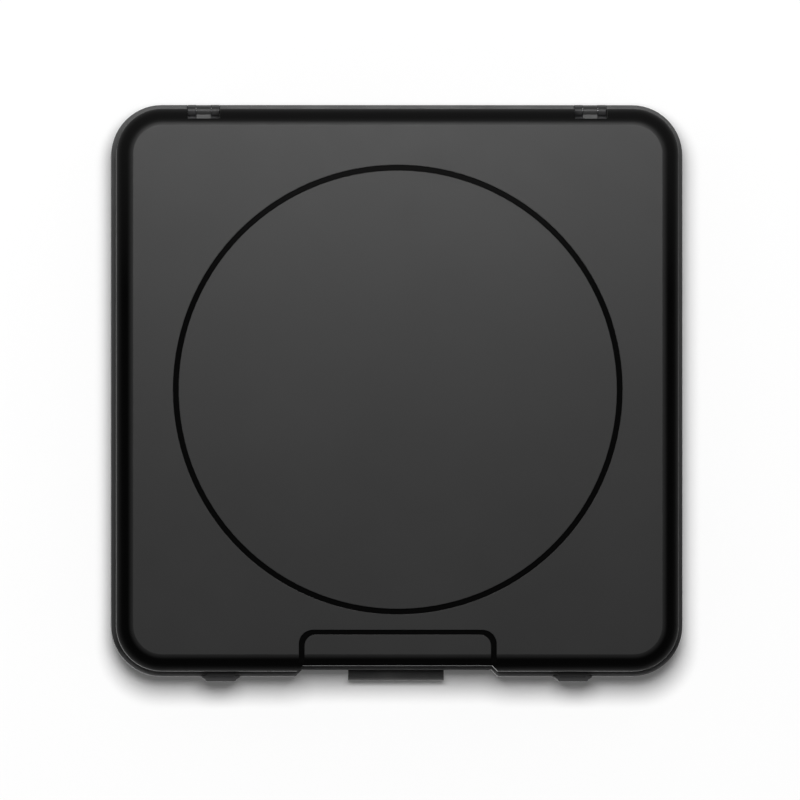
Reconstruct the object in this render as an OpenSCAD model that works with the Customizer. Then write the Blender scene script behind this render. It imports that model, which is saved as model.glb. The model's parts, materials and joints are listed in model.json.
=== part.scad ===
// Portable belt-drive turntable in a square case with a hinged lid, shown closed.
// Millimetres. The origin is on the table under the middle of the case: +X right, +Y rear, +Z up.

/* [Case] */
// Width of the base
case_w = 305; // [300:1:330]
// Depth of the base
case_d = 305; // [300:1:330]
// Corner radius of the base, seen from above
case_r = 27; // [25:0.5:30]
// Height of the base's rim above the table
rim_z = 64; // [62:0.5:72]
// Height of the rubber feet
foot_h = 4; // [3:0.5:6]
// Radius of a foot
foot_r = 10; // [8:0.5:14]
// Distance of the feet from the sides of the case
foot_inset = 33; // [32:0.5:34]
// Wall of the base
base_wall = 2.5; // [2.2:0.1:3]
// Floor of the base
base_floor = 2.5; // [2:0.1:3]
// Radius of the base's lower edge
base_edge_r = 4; // [2:0.5:5]
// Distance of the case screws from the sides of the case
screw_inset = 18.5; // [17:0.5:20]
// Radius of the case screws
case_screw_r = 1.4; // [1.2:0.1:1.8]

/* [Lid] */
// Height of the lid above the rim
lid_h = 38; // [37:0.5:46]
// Step from the base's side to the lid's side
lid_inset = 2.5; // [2:0.1:3]
// Wall of the lid
lid_wall = 2.6; // [2.2:0.1:3.2]
// Radius of the rolled edge round the lid's top
lid_edge_r = 9; // [6:0.5:12]
// Gap between the lid and the rim
lid_gap = 0.4; // [0.3:0.1:0.8]
// Radius of the round groove in the lid's top
ring_r = 118.3; // [90:0.5:122]
// Width of the grooves in the lid's top
groove_w = 3; // [2:0.1:4]
// Depth of the grooves in the lid's top
groove_depth = 1.2; // [0.6:0.1:1.6]
// Width over the bracket-shaped groove at the front
panel_w = 105.4; // [96:0.2:116]
// Depth of the bracket-shaped groove from the lid's front edge
panel_d = 22; // [16:0.5:26]
// Corner radius of the bracket-shaped groove
panel_r = 7.5; // [5:0.5:10]
// Width of the notch in the front of the case
notch_w = 101; // [100:0.5:106]
// Depth of the notch in the base
notch_d = 3.6; // [3:0.1:4]
// Depth of the notch in the lid
lid_notch_d = 3; // [2.5:0.1:3.4]

/* [Hinges and latches] */
// Distance of the hinges from the middle
hinge_x = 103.2; // [80:0.2:112]
// Width of a hinge
hinge_w = 16.8; // [14:0.2:20]
// Radius of the hinge barrels
barrel_r = 2.8; // [2.5:0.1:3]
// Radius of the hinge pins
hinge_pin_r = 1.4; // [1:0.1:1.6]
// Height of the hinge axis above the rim
hinge_rise = 4; // [3.6:0.1:5]
// Distance of the hinge axis from the rear of the case
hinge_inset = 3; // [2.9:0.1:3.3]
// Distance of the latches from the middle
latch_x = 94; // [80:0.5:104]
// Width of a latch at its back
latch_w = 20; // [16:0.5:22]
// Width of a latch at its front
latch_front_w = 16.5; // [12:0.5:18]
// Width of the latch's lip over the rim
latch_lip_w = 15.5; // [11:0.5:16]
// Thickness of the latch plate
latch_t = 3.2; // [2.6:0.1:3.6]
// Corner radius of a latch's front, seen from above
latch_corner_r = 1.4; // [0.8:0.1:1.6]
// Width of the grooves in a latch's top and front
latch_groove = 0.8; // [0.6:0.1:1]
// Distance of the latch pin below the rim
latch_drop = 20; // [19:0.5:22]
// Height of the latch's lip above the rim
latch_rise = 6; // [5:0.5:9]
// Radius of the latch pins
latch_pin_r = 1.2; // [0.9:0.1:1.4]

/* [Handle] */
// Width of the handle's grip
grip_w = 51; // [40:1:60]
// Height of the handle's grip
grip_h = 16; // [13:0.5:17]
// How far the grip stands out of the front of the case
grip_out = 2; // [1:0.5:4]
// Radius of the grip's long edges
grip_edge_r = 2; // [1:0.5:4]
// Radius of the flutes in the grip's front
flute_r = 0.8; // [0.5:0.1:1.2]
// Radius of the handle's rod
rod_r = 4.5; // [3.5:0.1:5]
// Drop from the handle's axis to its bar
handle_drop = 26; // [24:0.5:28]
// Distance of the handle's axis below the rim
handle_below = 14; // [13.5:0.5:16]
// Distance of the handle's axis from the front of the case
handle_inset = 9.5; // [9.4:0.1:10]
// Depth of the handle pocket from the front of the case
pocket_depth = 16; // [15.8:0.1:17]
// Radius of the handle's end pins
trunnion_r = 3; // [2.2:0.1:3.4]

/* [Deck] */
// Drop from the rim to the deck
deck_drop = 12; // [11:0.5:12.5]
// Thickness of the deck
deck_t = 2.5; // [2:0.1:2.6]
// Radius of the speaker grille
grille_r = 22; // [16:0.5:23]
// Place of the speaker across the deck
speaker_x = -112; // [-114:0.5:-108]
// Place of the speaker along the deck
speaker_y = -112; // [-114:0.5:-108]
// Radius of the speaker
speaker_r = 26; // [24.5:0.5:27]

/* [Platter and drive] */
// Place of the spindle across the deck
spindle_x = -36; // [-38:0.5:-32]
// Place of the spindle along the deck
spindle_y = -8; // [-10:0.5:-4]
// Radius of the spindle
spindle_r = 3.58; // [3.4:0.02:3.62]
// Radius of the spindle's lower part, which turns in the bearing
axle_r = 3.75; // [3.7:0.01:3.8]
// How far the spindle stands above the mat
spindle_rise = 10; // [6:0.5:14]
// Radius of the platter
platter_r = 92; // [88:0.5:96]
// Height of the platter
platter_h = 10; // [9.5:0.5:12]
// Gap between the deck and the platter
platter_gap = 2; // [1.8:0.1:2.4]
// Thickness of the platter's disc
platter_t = 3; // [2.5:0.1:3.2]
// Thickness of the mat
mat_t = 1.5; // [1:0.1:2]
// Radius of the rim under the platter that the belt drives
drive_r = 64; // [58:0.5:66]
// Distance of the pulley's middle from the driven rim
belt_span = 12; // [10.5:0.5:13]
// Radius of the pulley
pulley_r = 5; // [4:0.1:5.5]
// Thickness of the belt
belt_t = 0.9; // [0.6:0.1:1.2]
// Width of the belt
belt_w = 4.2; // [3.4:0.1:4.6]
// Direction of the motor from the spindle, in degrees
motor_angle = -32; // [-40:1:-24]
// Radius of the motor
motor_r = 16; // [12:0.5:17]
// Height of the motor
motor_h = 22; // [18:0.5:26]
// Radius of the motor's shaft
shaft_r = 1; // [0.8:0.1:1.4]
// Length of the spindle's bearing under the deck
bush_len = 22; // [18:0.5:26]

/* [Tonearm] */
// Place of the arm's pivot across the deck
arm_x = 114; // [112:0.5:116]
// Place of the arm's pivot along the deck
arm_y = 100; // [98:0.5:102]
// Height of the arm above the deck
arm_h = 27; // [26:0.5:28]
// Length from the pivot to the stylus
arm_len = 199; // [194:0.5:204]
// Radius of the tube at the pivot
tube_r = 4.2; // [3.8:0.1:4.5]
// Radius of the tube at the headshell
tube_end_r = 3.6; // [3.2:0.1:3.8]
// Radius of the arm's base
arm_base_r = 20; // [18.5:0.5:21]
// Height of the arm's base
arm_base_h = 14; // [12:0.5:15]
// Radius of the arm's upright shaft
arm_shaft_r = 4; // [3:0.1:5]
// Radius of the arm's level pin
arm_pin_r = 1.45; // [1:0.05:1.8]
// Radius of the counterweight
weight_r = 7; // [6:0.2:7.6]
// Distance of the cue lift from the arm's pivot
cue_r = 30; // [29:0.5:32]
// Distance of the arm rest from the arm's pivot
rest_dist = 130; // [110:1:136]
// Width of the headshell
shell_w = 17; // [15:0.5:18]

/* [Controls] */
// Radius of the knobs
knob_r = 9; // [7:0.5:9.5]
// Height of the knobs
knob_h = 11; // [8:0.5:11.5]
// Distance of the row of controls from the front of the case
control_row = 33.5; // [33:0.5:36]
// Place of the volume knob across the deck
volume_x = -72; // [-73:0.5:-68]
// Place of the tone knob across the deck
tone_x = -46; // [-48:0.5:-44]
// Place of the power lamp across the deck
lamp_x = -25; // [-28:0.5:-22]
// Place of the power button across the deck
power_x = -9; // [-12:0.5:-6]
// Place of the speed slider across the deck
speed_x = 20; // [16:0.5:23]
// Place of the pitch knob across the deck
pitch_x = 51; // [48:0.5:54]
// Place of the autostop slider across the deck
autostop_x = 82; // [79:0.5:84]
// Place of the fader across the deck
fader_x = 104.5; // [100:0.5:106]
// Distance of the fader from the front of the case
fader_row = 24; // [23:0.5:26]
// Travel of the fader to each side
fader_travel = 12; // [8:0.5:13]
// Radius of the 45 adapter
adapter_r = 19; // [18:0.2:20]
// Place of the 45 adapter across the deck
adapter_x = -116; // [-118:0.5:-112]
// Place of the 45 adapter along the deck
adapter_y = 114; // [110:0.5:116]

/* [Battery bay] */
// Diameter of a battery cell
cell_d = 34.2; // [32:0.1:35]
// Length of a battery cell
cell_len = 61.5; // [58:0.1:62]
// Cells in a row
cells_long = 3; // [2:1:3]
// Middle of the battery bay across the base
bay_x = -10; // [-14:0.5:-6]
// Middle of the battery bay along the base
bay_y = 76; // [74:0.5:78]
// Wall of the battery tray
tray_wall = 2; // [1.6:0.1:2.4]
// Thickness of the battery door
door_t = 2.5; // [2:0.1:3]

/* [Sockets] */
// Height of the rear sockets above the table
socket_z = 33; // [31:0.5:34]
// Depth of the recess for the rear sockets
socket_depth = 14; // [13:0.5:15]
// Place of the left line-out socket across the rear
line_x = -76; // [-78:0.5:-74]
// Spacing of the line-out sockets
line_pitch = 18; // [16:0.5:20]
// Radius of a line-out sleeve
line_r = 4.15; // [3.9:0.05:4.4]
// Place of the USB socket across the rear
usb_x = -32; // [-34:0.5:-28]
// Place of the power socket across the rear
dc_x = -9; // [-12:0.5:-8]
// Place of the headphone socket across the front
phone_x = 118; // [117:0.5:120]
// Height of the headphone socket above the table
phone_z = 26; // [24:0.5:28]

/* [Fits] */
// Gap between a shaft and its bore
run_gap = 0.05; // [0.03:0.01:0.08]
// Gap round a piece that drops into its seat
seat_gap = 0.2; // [0.1:0.05:0.3]
// Gap between neighbours that move past each other
clear_gap = 0.3; // [0.25:0.05:0.5]

/* [Hidden] */
$fn = 64;

// Colours
case_black = [0.1, 0.1, 0.11];
deck_grey = [0.2, 0.2, 0.21];
part_grey = [0.32, 0.32, 0.33];
rubber_black = [0.06, 0.06, 0.06];
steel_grey = [0.7, 0.7, 0.72];
alloy_grey = [0.78, 0.78, 0.8];
brass_yellow = [0.75, 0.6, 0.3];
board_green = [0.08, 0.3, 0.14];
paper_dark = [0.15, 0.14, 0.13];
stylus_red = [0.75, 0.1, 0.1];

// Levels and outlines of the case
cut = 1;
front_y = -case_d / 2;
rear_y = case_d / 2;
floor_z = foot_h + base_floor;
inner_w = case_w - 2 * base_wall;
inner_d = case_d - 2 * base_wall;
inner_r = case_r - base_wall;
flange_z = rim_z - deck_t;
rail_w = 2;
rail_h = 3;
tub_gap = 0.5;
tub_w = inner_w - 2 * (rail_w + tub_gap);
tub_d = inner_d - 2 * (rail_w + tub_gap);
tub_r = inner_r - rail_w - tub_gap;
deck_z = rim_z - deck_drop;
deck_under = deck_z - deck_t;
lid_w = case_w - 2 * lid_inset;
lid_d = case_d - 2 * lid_inset;
lid_r = case_r - lid_inset;
lid_z = rim_z + lid_gap;
lid_top = rim_z + lid_h;
lid_ceiling = lid_top - lid_wall;
lid_front = -lid_d / 2;

// Places on the deck and in the base move with the sides of the case, from those of this width and depth
plan_w = 305;
plan_d = 305;
side_shift = (case_w - plan_w) / 2;
depth_shift = (case_d - plan_d) / 2;
horn_x = speaker_x - side_shift;
horn_y = speaker_y - depth_shift;
disc_x = spindle_x - side_shift;
disc_y = spindle_y - depth_shift;
pivot_x = arm_x + side_shift;
pivot_y = arm_y + depth_shift;
store_x = adapter_x - side_shift;
store_y = adapter_y + depth_shift;
row_left = volume_x - side_shift;
row_right = pitch_x + side_shift;
row_share = (row_right - row_left) / (pitch_x - volume_x);
tone_at = row_left + (tone_x - volume_x) * row_share;
lamp_at = row_left + (lamp_x - volume_x) * row_share;
power_at = row_left + (power_x - volume_x) * row_share;
speed_at = row_left + (speed_x - volume_x) * row_share;
autostop_at = autostop_x + side_shift;
fader_at = fader_x + side_shift;
phone_at = phone_x + side_shift;
tray_y = bay_y + depth_shift;

// Hinges
hinge_y = rear_y - hinge_inset;
hinge_z = rim_z + hinge_rise;
hinge_leaf = 4.2;
hinge_foot = 12;
hinge_cut_y = hinge_y - barrel_r - 2.2;

// Front notch, handle and latches
notch_face = front_y + notch_d;
lid_notch_face = lid_front + lid_notch_d;
backing_w = notch_w + 2 * (notch_d + base_wall);
land_w = backing_w + 2 * tub_gap;
handle_y = front_y + handle_inset;
handle_z = rim_z - handle_below;
pocket_back = front_y + pocket_depth;
pocket_top = handle_z + rod_r + 3.5;
pocket_bottom = handle_z - handle_drop - grip_h / 2 - 4;
pocket_w = notch_w - 1;
pocket_wall = 2;
land_back = pocket_back + pocket_wall + tub_gap + deck_t;
arm_out = pocket_w / 2 - 2 * clear_gap;
elbow_r = 9;
latch_y = front_y + 2;
latch_z = rim_z - latch_drop;
latch_barrel_r = latch_pin_r + 1.5;
latch_back = front_y + 0.4;
latch_hole_w = latch_w + 4 * clear_gap;
latch_boss_w = latch_hole_w + 5;

// Screws and feet
screw_x = case_w / 2 - screw_inset;
screw_y = case_d / 2 - screw_inset;
post_r = 4;
post_z = 24;
screw_seat = floor_z + 5;
screw_grip = 10;
foot_x = case_w / 2 - foot_inset;
foot_y = case_d / 2 - foot_inset;
foot_plug_r = 2.5;
vent_shift = 36;

// Platter and drive
platter_z = deck_z + platter_gap;
platter_top = platter_z + platter_h;
mat_top = platter_top + mat_t;
mat_r = platter_r - 2;
disc_z = platter_top - platter_t;
skirt_t = 3;
hub_r = 14;
bush_r = 6;
bush_flange_h = platter_gap - seat_gap;
bush_end = deck_under - bush_len;
cup_h = 8;
motor_offset = drive_r + belt_span;
motor_x = disc_x + motor_offset * cos(motor_angle);
motor_y = disc_y + motor_offset * sin(motor_angle);
grommet_h = 2;
plate_t = 1.5;
motor_top = deck_under - grommet_h - plate_t;
ear_dist = motor_r + 4;
motor_screw_r = 1.5;
belt_gap = 0.15;
belt_lap = 0.4;
belt_step = 0.05;
belt_z = disc_z - 2.2 - belt_w;
pulley_flange = 1.2;
pulley_side = 0.4;
pulley_z = belt_z - pulley_side - pulley_flange;
pulley_top = belt_z + belt_w + pulley_side + pulley_flange;

// Tonearm
arm_z = deck_z + arm_h;
arm_floor = deck_z + arm_base_h;
yoke_z = arm_floor + clear_gap;
yoke_t = 2.7;
cheek_in = 7;
cheek_t = 3;
cheek_r = 6;
tube_len = arm_len - 35;
tip_z = mat_top + 1.7;
shell_under = arm_z - 2;
shell_h = 4.5;
stub_r = 3.4;
weight_end = 27;
weight_len = 14;
arm_spigot_r = 9;
spigot_end = deck_under - 5;
yoke_r = 16;
cue_guide_h = 12;
ear_out = 6.5;
ear_t = 2.5;
lever_pin_r = 1.2;
clip_pin_r = 1;
cue_post_r = 2;
cue_angle = 249;
cue_top = arm_z - tube_r - clear_gap;
lever_x = 22;
lever_y = -22;
lever_z = deck_z + 9;
lever_len = 24;
lever_w = 4;
lever_t = 3;
lever_boss_r = 2.5;

// Arm rest: the tube's radius there, and the levels that follow from it
rest_tube_r = tube_r - (tube_r - tube_end_r) * (rest_dist - 8) / (tube_len - 8);
rest_top = arm_z - rest_tube_r - clear_gap;
rest_in = tube_r + 0.4;
rest_out = rest_in + 5.4;
clip_x = (rest_in + rest_out) / 2;
clip_t = 2;
clip_z = arm_z + rest_tube_r + clear_gap + clip_t / 2;
clip_reach = clip_x + rest_tube_r + 2 * clear_gap;

// Controls
control_y = front_y + control_row;
fader_y = front_y + fader_row;
pot_shaft_r = 2.5;
pot_bush_r = 3.8;
lamp_r = 1.5;
button_r = 5;
stem_l = 4;
stem_w = 3;
speed_travel = 6;
autostop_travel = 3;
autostop_y = control_y + 8;
fader_plate_t = 1.2;
fader_plate_d = 24;
fader_margin = 16;
fader_screw_r = 1.6;
fader_screw_out = 11;
switch_cap = [9, 7, 4];
fader_cap_size = [10, 15, 8];
peg_r = 3.5;
adapter_land_h = 1.2;

// Board under the deck and speaker
board_screw_r = 1.1;
board_t = 1.6;
board_z = deck_under - 11.5;
board_top = board_z + board_t;
board_left = 10;
board_right = 14;
board_front = 10;
board_back = 30;
board_hole_in = 5;
board_hole_side = 4;
pot_w = 12;
pot_h = 7;
pot_floor = 2;
speaker_rim_w = 3.5;
speaker_rim_h = 3;

// Battery bay
tray_l = cells_long * cell_len + 11.5;
tray_d = 2 * cell_d + 2.6;
tray_h = cell_d + 0.8;
door_inset = 3;
door_corner_r = 3;
tray_flange = 3.5;
tray_flange_t = 1.6;
opening_l = tray_l - 2 * door_inset;
opening_d = tray_d - 2 * door_inset;

// Rear sockets
socket_face = rear_y - socket_depth;
socket_h = 26;
recess_left = line_x - 13;
recess_right = dc_x + 14;
recess_wall = 2;
panel_in = socket_face - recess_wall;
sleeve_end = panel_in - 10;
line_core_r = line_r - 0.9;
line_root_r = line_r - 0.35;
line_out = 8.5;
line_margin = 9;
line_hole_r = 1.6;
socket_back = 14;
usb_w = 12;
usb_h = 11;
usb_wall = 1.2;
dc_r = 4.5;
dc_hole_r = 2.8;
dc_body_w = 14;
dc_back = 12;
phone_r = 4.5;
phone_bore_r = 1.8;
phone_body_w = 14;
phone_body_h = 12;
phone_body_len = 18;

// Shapes used by several pieces

// Box between two corners
module box(from, to) {
    translate(from) cube(to - from);
}

// Tube standing on the plane
module tube(outer_r, inner_r, h) {
    difference() {
        cylinder(r = outer_r, h = h);
        translate([0, 0, -cut]) cylinder(r = inner_r, h = h + 2 * cut);
    }
}

// Rod along X, centred
module rod_x(r, length) {
    rotate([0, 90, 0]) cylinder(r = r, h = length, center = true);
}

// Rod along Y from one place to another
module rod_y(r, from, to) {
    translate([0, from, 0]) rotate([-90, 0, 0]) cylinder(r = r, h = to - from);
}

// Extrudes a side profile drawn in Y and Z along X, centred
module along_x(length) {
    rotate([90, 0, 90]) linear_extrude(length, center = true) children();
}

// Side profile of a block's rounded edge, from the corner's axis outwards
module edge_profile(r, h, top_r, bottom_r) {
    difference() {
        square([r, h]);
        if (top_r > 0) translate([r - top_r, h - top_r]) difference() {
            square(top_r + cut);
            circle(top_r);
        }
        if (bottom_r > 0) translate([r - bottom_r, bottom_r]) mirror([0, 1]) difference() {
            square(bottom_r + cut);
            circle(bottom_r);
        }
    }
}

// Block with round upright corners, and rolled top and bottom edges where a radius is given
module soft_block(w, d, h, r, top_r = 0, bottom_r = 0) {
    cx = w / 2 - r;
    cy = d / 2 - r;
    corners = [[cx, cy], [-cx, cy], [-cx, -cy], [cx, -cy]];
    translate([-cx, -cy, 0]) cube([2 * cx, 2 * cy, h]);
    for (i = [0 : 3]) {
        translate(corners[i]) rotate(90 * i) rotate_extrude(angle = 90) edge_profile(r, h, top_r, bottom_r);
    }
    for (turn = [0, 180]) {
        rotate(turn) translate([cx, cy, 0]) rotate([90, 0, 0])
            linear_extrude(2 * cy) edge_profile(r, h, top_r, bottom_r);
        rotate(turn + 90) translate([cy, cx, 0]) rotate([90, 0, 0])
            linear_extrude(2 * cx) edge_profile(r, h, top_r, bottom_r);
    }
}

// Flat rectangle with round corners, centred
module soft_rect(w, d, r) {
    difference() {
        square([w, d], center = true);
        for (sx = [0, 1], sy = [0, 1]) mirror([sx, 0]) mirror([0, sy])
            translate([w / 2 - r, d / 2 - r]) difference() {
                square(r + cut);
                circle(r);
            }
    }
}

// Copies at both sides of the middle
module both_sides(x) {
    for (side = [-1, 1]) translate([side * x, 0, 0]) children();
}

// Copies at four corners
module four_corners(x, y) {
    for (sx = [-1, 1], sy = [-1, 1]) translate([sx * x, sy * y, 0]) children();
}

// Plan of the notch in the front, with slanted ends
module notch_plan(edge_y, face_y) {
    reach = face_y - edge_y + cut;
    polygon([
        [-notch_w / 2, face_y], [notch_w / 2, face_y],
        [notch_w / 2 + reach, edge_y - cut], [-notch_w / 2 - reach, edge_y - cut]
    ]);
}

// Base of the case

// Hollow of the base, with the ledge that the deck sits on
module base_hollow() {
    ledge_z = flange_z - rail_h;
    translate([0, 0, floor_z]) soft_block(inner_w, inner_d, ledge_z - floor_z, inner_r);
    translate([0, 0, ledge_z])
        soft_block(inner_w - 2 * rail_w, inner_d - 2 * rail_w, rail_h, inner_r - rail_w);
    translate([0, 0, flange_z]) soft_block(inner_w, inner_d, deck_t + cut, inner_r);
}

// Walls inside the base round the notch, the handle, the latches and the sockets
module base_walls() {
    backing_y = notch_face + base_wall;
    box([-backing_w / 2, front_y + base_wall / 2, floor_z], [backing_w / 2, backing_y, rim_z]);
    box(
        [-pocket_w / 2 - pocket_wall, notch_face + cut, pocket_bottom - pocket_wall],
        [pocket_w / 2 + pocket_wall, pocket_back + pocket_wall, pocket_top + pocket_wall]
    );
    both_sides(latch_x) box(
        [-latch_boss_w / 2, front_y + base_wall / 2, latch_z - latch_barrel_r - 4],
        [latch_boss_w / 2, front_y + 7.5, latch_z + latch_barrel_r + 2]
    );
    box(
        [recess_left - recess_wall, socket_face - recess_wall, socket_z - socket_h / 2 - recess_wall],
        [recess_right + recess_wall, rear_y - base_wall / 2, socket_z + socket_h / 2 + recess_wall]
    );
    four_corners(screw_x, screw_y) translate([0, 0, floor_z - cut])
        cylinder(r = post_r + 2, h = post_z - floor_z + cut);
}

module base_shell() color(case_black) difference() {
    union() {
        difference() {
            translate([0, 0, foot_h]) soft_block(case_w, case_d, rim_z - foot_h, case_r, 0, base_edge_r);
            base_hollow();
        }
        base_walls();
    }
    // Front notch and handle pocket
    translate([0, 0, -cut]) linear_extrude(rim_z + 2 * cut) notch_plan(front_y, notch_face);
    box([-pocket_w / 2, front_y - cut, pocket_bottom], [pocket_w / 2, pocket_back, pocket_top]);
    translate([0, handle_y, handle_z]) rod_x(trunnion_r + run_gap, pocket_w + 2 * pocket_wall + cut);
    // Recesses for the latches
    both_sides(latch_x) {
        box(
            [-latch_hole_w / 2, front_y - cut, latch_z - latch_barrel_r - 2],
            [latch_hole_w / 2, latch_y + latch_barrel_r + clear_gap, latch_z + latch_barrel_r + clear_gap]
        );
        box(
            [-latch_hole_w / 2, front_y - cut, latch_z],
            [latch_hole_w / 2, latch_back + clear_gap, rim_z + cut]
        );
        translate([0, latch_y, latch_z]) rod_x(latch_pin_r + run_gap, latch_boss_w);
    }
    // Slots for the hinge brackets
    both_sides(hinge_x) box(
        [-hinge_w / 2 - seat_gap, rear_y - base_wall, rim_z - hinge_foot],
        [hinge_w / 2 + seat_gap, rear_y + cut, rim_z + cut]
    );
    // Recess for the rear sockets and the holes in its back
    box(
        [recess_left, socket_face, socket_z - socket_h / 2],
        [recess_right, rear_y + cut, socket_z + socket_h / 2]
    );
    line_places() rod_y(line_root_r + seat_gap, panel_in - cut, rear_y);
    translate([usb_x, 0, socket_z]) usb_outline(seat_gap, panel_in - cut, rear_y);
    translate([dc_x, 0, socket_z]) rod_y(dc_r + seat_gap, panel_in - cut, rear_y);
    // Headphone socket, screws, feet, battery door and air slots
    translate([phone_at, 0, phone_z]) rod_y(phone_r + seat_gap, front_y - cut, front_y + base_wall + cut);
    four_corners(screw_x, screw_y) {
        cylinder(r = case_screw_r + 2.6, h = screw_seat);
        cylinder(r = case_screw_r + 2 * seat_gap, h = post_z + cut);
    }
    four_corners(foot_x, foot_y) cylinder(r = foot_plug_r + seat_gap, h = floor_z + cut);
    translate([bay_x, tray_y, foot_h - cut]) linear_extrude(base_floor + 2 * cut)
        soft_rect(opening_l, opening_d, door_corner_r);
    translate([horn_x + vent_shift, horn_y + vent_shift, foot_h - cut])
        linear_extrude(base_floor + 2 * cut) slot_field(grille_r - 4, 7, 2.4);
}

// Round field of parallel slots
module slot_field(r, pitch, width) {
    count = floor((r - width) / pitch);
    for (i = [-count : count]) {
        half = sqrt(r * r - pow(abs(i) * pitch + width / 2, 2));
        translate([0, i * pitch]) square([2 * half, width], center = true);
    }
}

module rubber_feet() color(rubber_black) four_corners(foot_x, foot_y) rotate_extrude() {
    polygon([[0, 0], [foot_r - 1.5, 0], [foot_r, foot_h], [0, foot_h]]);
    translate([0, foot_h - cut]) square([foot_plug_r, base_floor + 2 * cut]);
    translate([0, floor_z + seat_gap]) square([foot_plug_r + 1, cut]);
}

// Screw with a cross-slotted head, driven upwards
module screw(r, head_r, head_h, length) {
    difference() {
        union() {
            translate([0, 0, -head_h]) cylinder(r = head_r, h = head_h);
            cylinder(r = r, h = length);
        }
        for (turn = [0, 90]) rotate(turn) translate([0, 0, -head_h])
            cube([head_r * 1.2, head_r * 0.3, head_h], center = true);
    }
}

module case_screws() color(steel_grey) four_corners(screw_x, screw_y)
    translate([0, 0, screw_seat])
        screw(case_screw_r, case_screw_r + 2, 2.4, post_z - screw_seat + screw_grip);

// Deck under the lid

// Raised land over the handle pocket, hollow below
module land_block(grow) {
    box(
        [-land_w / 2 - grow, front_y, deck_under - cut],
        [land_w / 2 + grow, land_back - deck_t + grow, rim_z]
    );
}

// Posts under the deck for the case screws and the board
module deck_posts() {
    four_corners(screw_x, screw_y) translate([0, 0, post_z])
        cylinder(r = post_r, h = deck_under - post_z + cut);
    board_corners() translate([0, 0, board_top])
        cylinder(r = board_screw_r + 1.9, h = deck_under - board_top + cut);
    translate([disc_x, disc_y, bush_end + cup_h / 2 + clear_gap])
        cylinder(r = bush_r + 3, h = deck_under - bush_end - cup_h / 2 - clear_gap + cut);
    translate([store_x, store_y, deck_z - cut]) {
        cylinder(r = peg_r, h = 5 + cut);
        tube(adapter_r - 4, adapter_r - 6, adapter_land_h + cut);
    }
}

// Openings in the deck for what passes through it
module deck_holes() {
    through = deck_t + 2 * cut;
    translate([disc_x, disc_y, 0]) cylinder(r = bush_r + run_gap, h = rim_z);
    translate([motor_x, motor_y, deck_under - cut]) {
        cylinder(r = pulley_r + 3, h = through);
        motor_ears() cylinder(r = motor_screw_r + seat_gap, h = through);
    }
    translate([pivot_x, pivot_y, deck_under - cut]) {
        cylinder(r = arm_spigot_r + seat_gap, h = through);
        cue_place() cylinder(r = cue_post_r + 2 * clear_gap, h = through);
    }
    for (x = [row_left, tone_at, row_right]) translate([x, control_y, deck_under - cut])
        cylinder(r = pot_bush_r + seat_gap, h = through);
    translate([lamp_at, control_y, deck_under - cut]) cylinder(r = lamp_r + run_gap, h = through);
    translate([power_at, control_y, deck_under - cut]) cylinder(r = button_r + clear_gap, h = through);
    translate([speed_at, control_y, deck_under - cut]) slider_slot(speed_travel, through);
    translate([autostop_at, autostop_y, deck_under - cut]) slider_slot(autostop_travel, through);
    translate([fader_at, fader_y, deck_under - cut]) slider_slot(fader_travel, through);
    translate([horn_x, horn_y, deck_under - cut])
        linear_extrude(through) slot_field(grille_r, 4.4, 2.2);
    four_corners(screw_x, screw_y) translate([0, 0, post_z - cut])
        cylinder(r = case_screw_r + run_gap, h = screw_grip + 4);
    board_corners() translate([0, 0, board_z]) cylinder(r = board_screw_r + run_gap, h = 8);
}

// Slot that a slider's stem moves in
module slider_slot(travel, h) {
    translate([-travel - stem_l / 2 - clear_gap, -stem_w / 2 - clear_gap, 0])
        cube([2 * travel + stem_l + 2 * clear_gap, stem_w + 2 * clear_gap, h]);
}

module deck_tray() color(deck_grey) difference() {
    union() {
        difference() {
            union() {
                translate([0, 0, flange_z])
                    soft_block(inner_w - 2 * seat_gap, inner_d - 2 * seat_gap, deck_t, inner_r - seat_gap);
                translate([0, 0, deck_under]) soft_block(tub_w, tub_d, flange_z - deck_under, tub_r);
            }
            difference() {
                translate([0, 0, deck_z])
                    soft_block(tub_w - 2 * deck_t, tub_d - 2 * deck_t, deck_drop + cut, tub_r - deck_t);
                land_block(deck_t);
            }
            box([-land_w / 2, front_y, deck_under - cut], [land_w / 2, land_back - deck_t, flange_z]);
            box(
                [-backing_w / 2 - seat_gap, front_y, flange_z - cut],
                [backing_w / 2 + seat_gap, notch_face + base_wall + seat_gap, rim_z + cut]
            );
        }
        deck_posts();
    }
    deck_holes();
}

module inner_screws() color(steel_grey) {
    translate([motor_x, motor_y, deck_z]) motor_ears() mirror([0, 0, 1])
        screw(motor_screw_r, 2.8, 1.1, deck_t + grommet_h + plate_t + 2);
    board_corners() translate([0, 0, board_z]) screw(board_screw_r, 2.4, 1.6, board_t + 5);
}

// Lid, hinges and latches

// Hollow of the lid, less the walls behind the notch and the hinges
module lid_hollow() {
    difference() {
        translate([0, 0, lid_z - cut]) soft_block(
            lid_w - 2 * lid_wall, lid_d - 2 * lid_wall, lid_ceiling - lid_z + cut,
            lid_r - lid_wall, lid_edge_r - lid_wall
        );
        box(
            [-notch_w / 2 - lid_notch_d - lid_wall, lid_front, lid_z - 2 * cut],
            [notch_w / 2 + lid_notch_d + lid_wall, lid_notch_face + lid_wall, lid_top]
        );
        both_sides(hinge_x) box(
            [-hinge_w / 2 - clear_gap - lid_wall, hinge_cut_y - lid_wall, lid_z - 2 * cut],
            [hinge_w / 2 + clear_gap + lid_wall, rear_y, lid_top]
        );
    }
}

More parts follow.
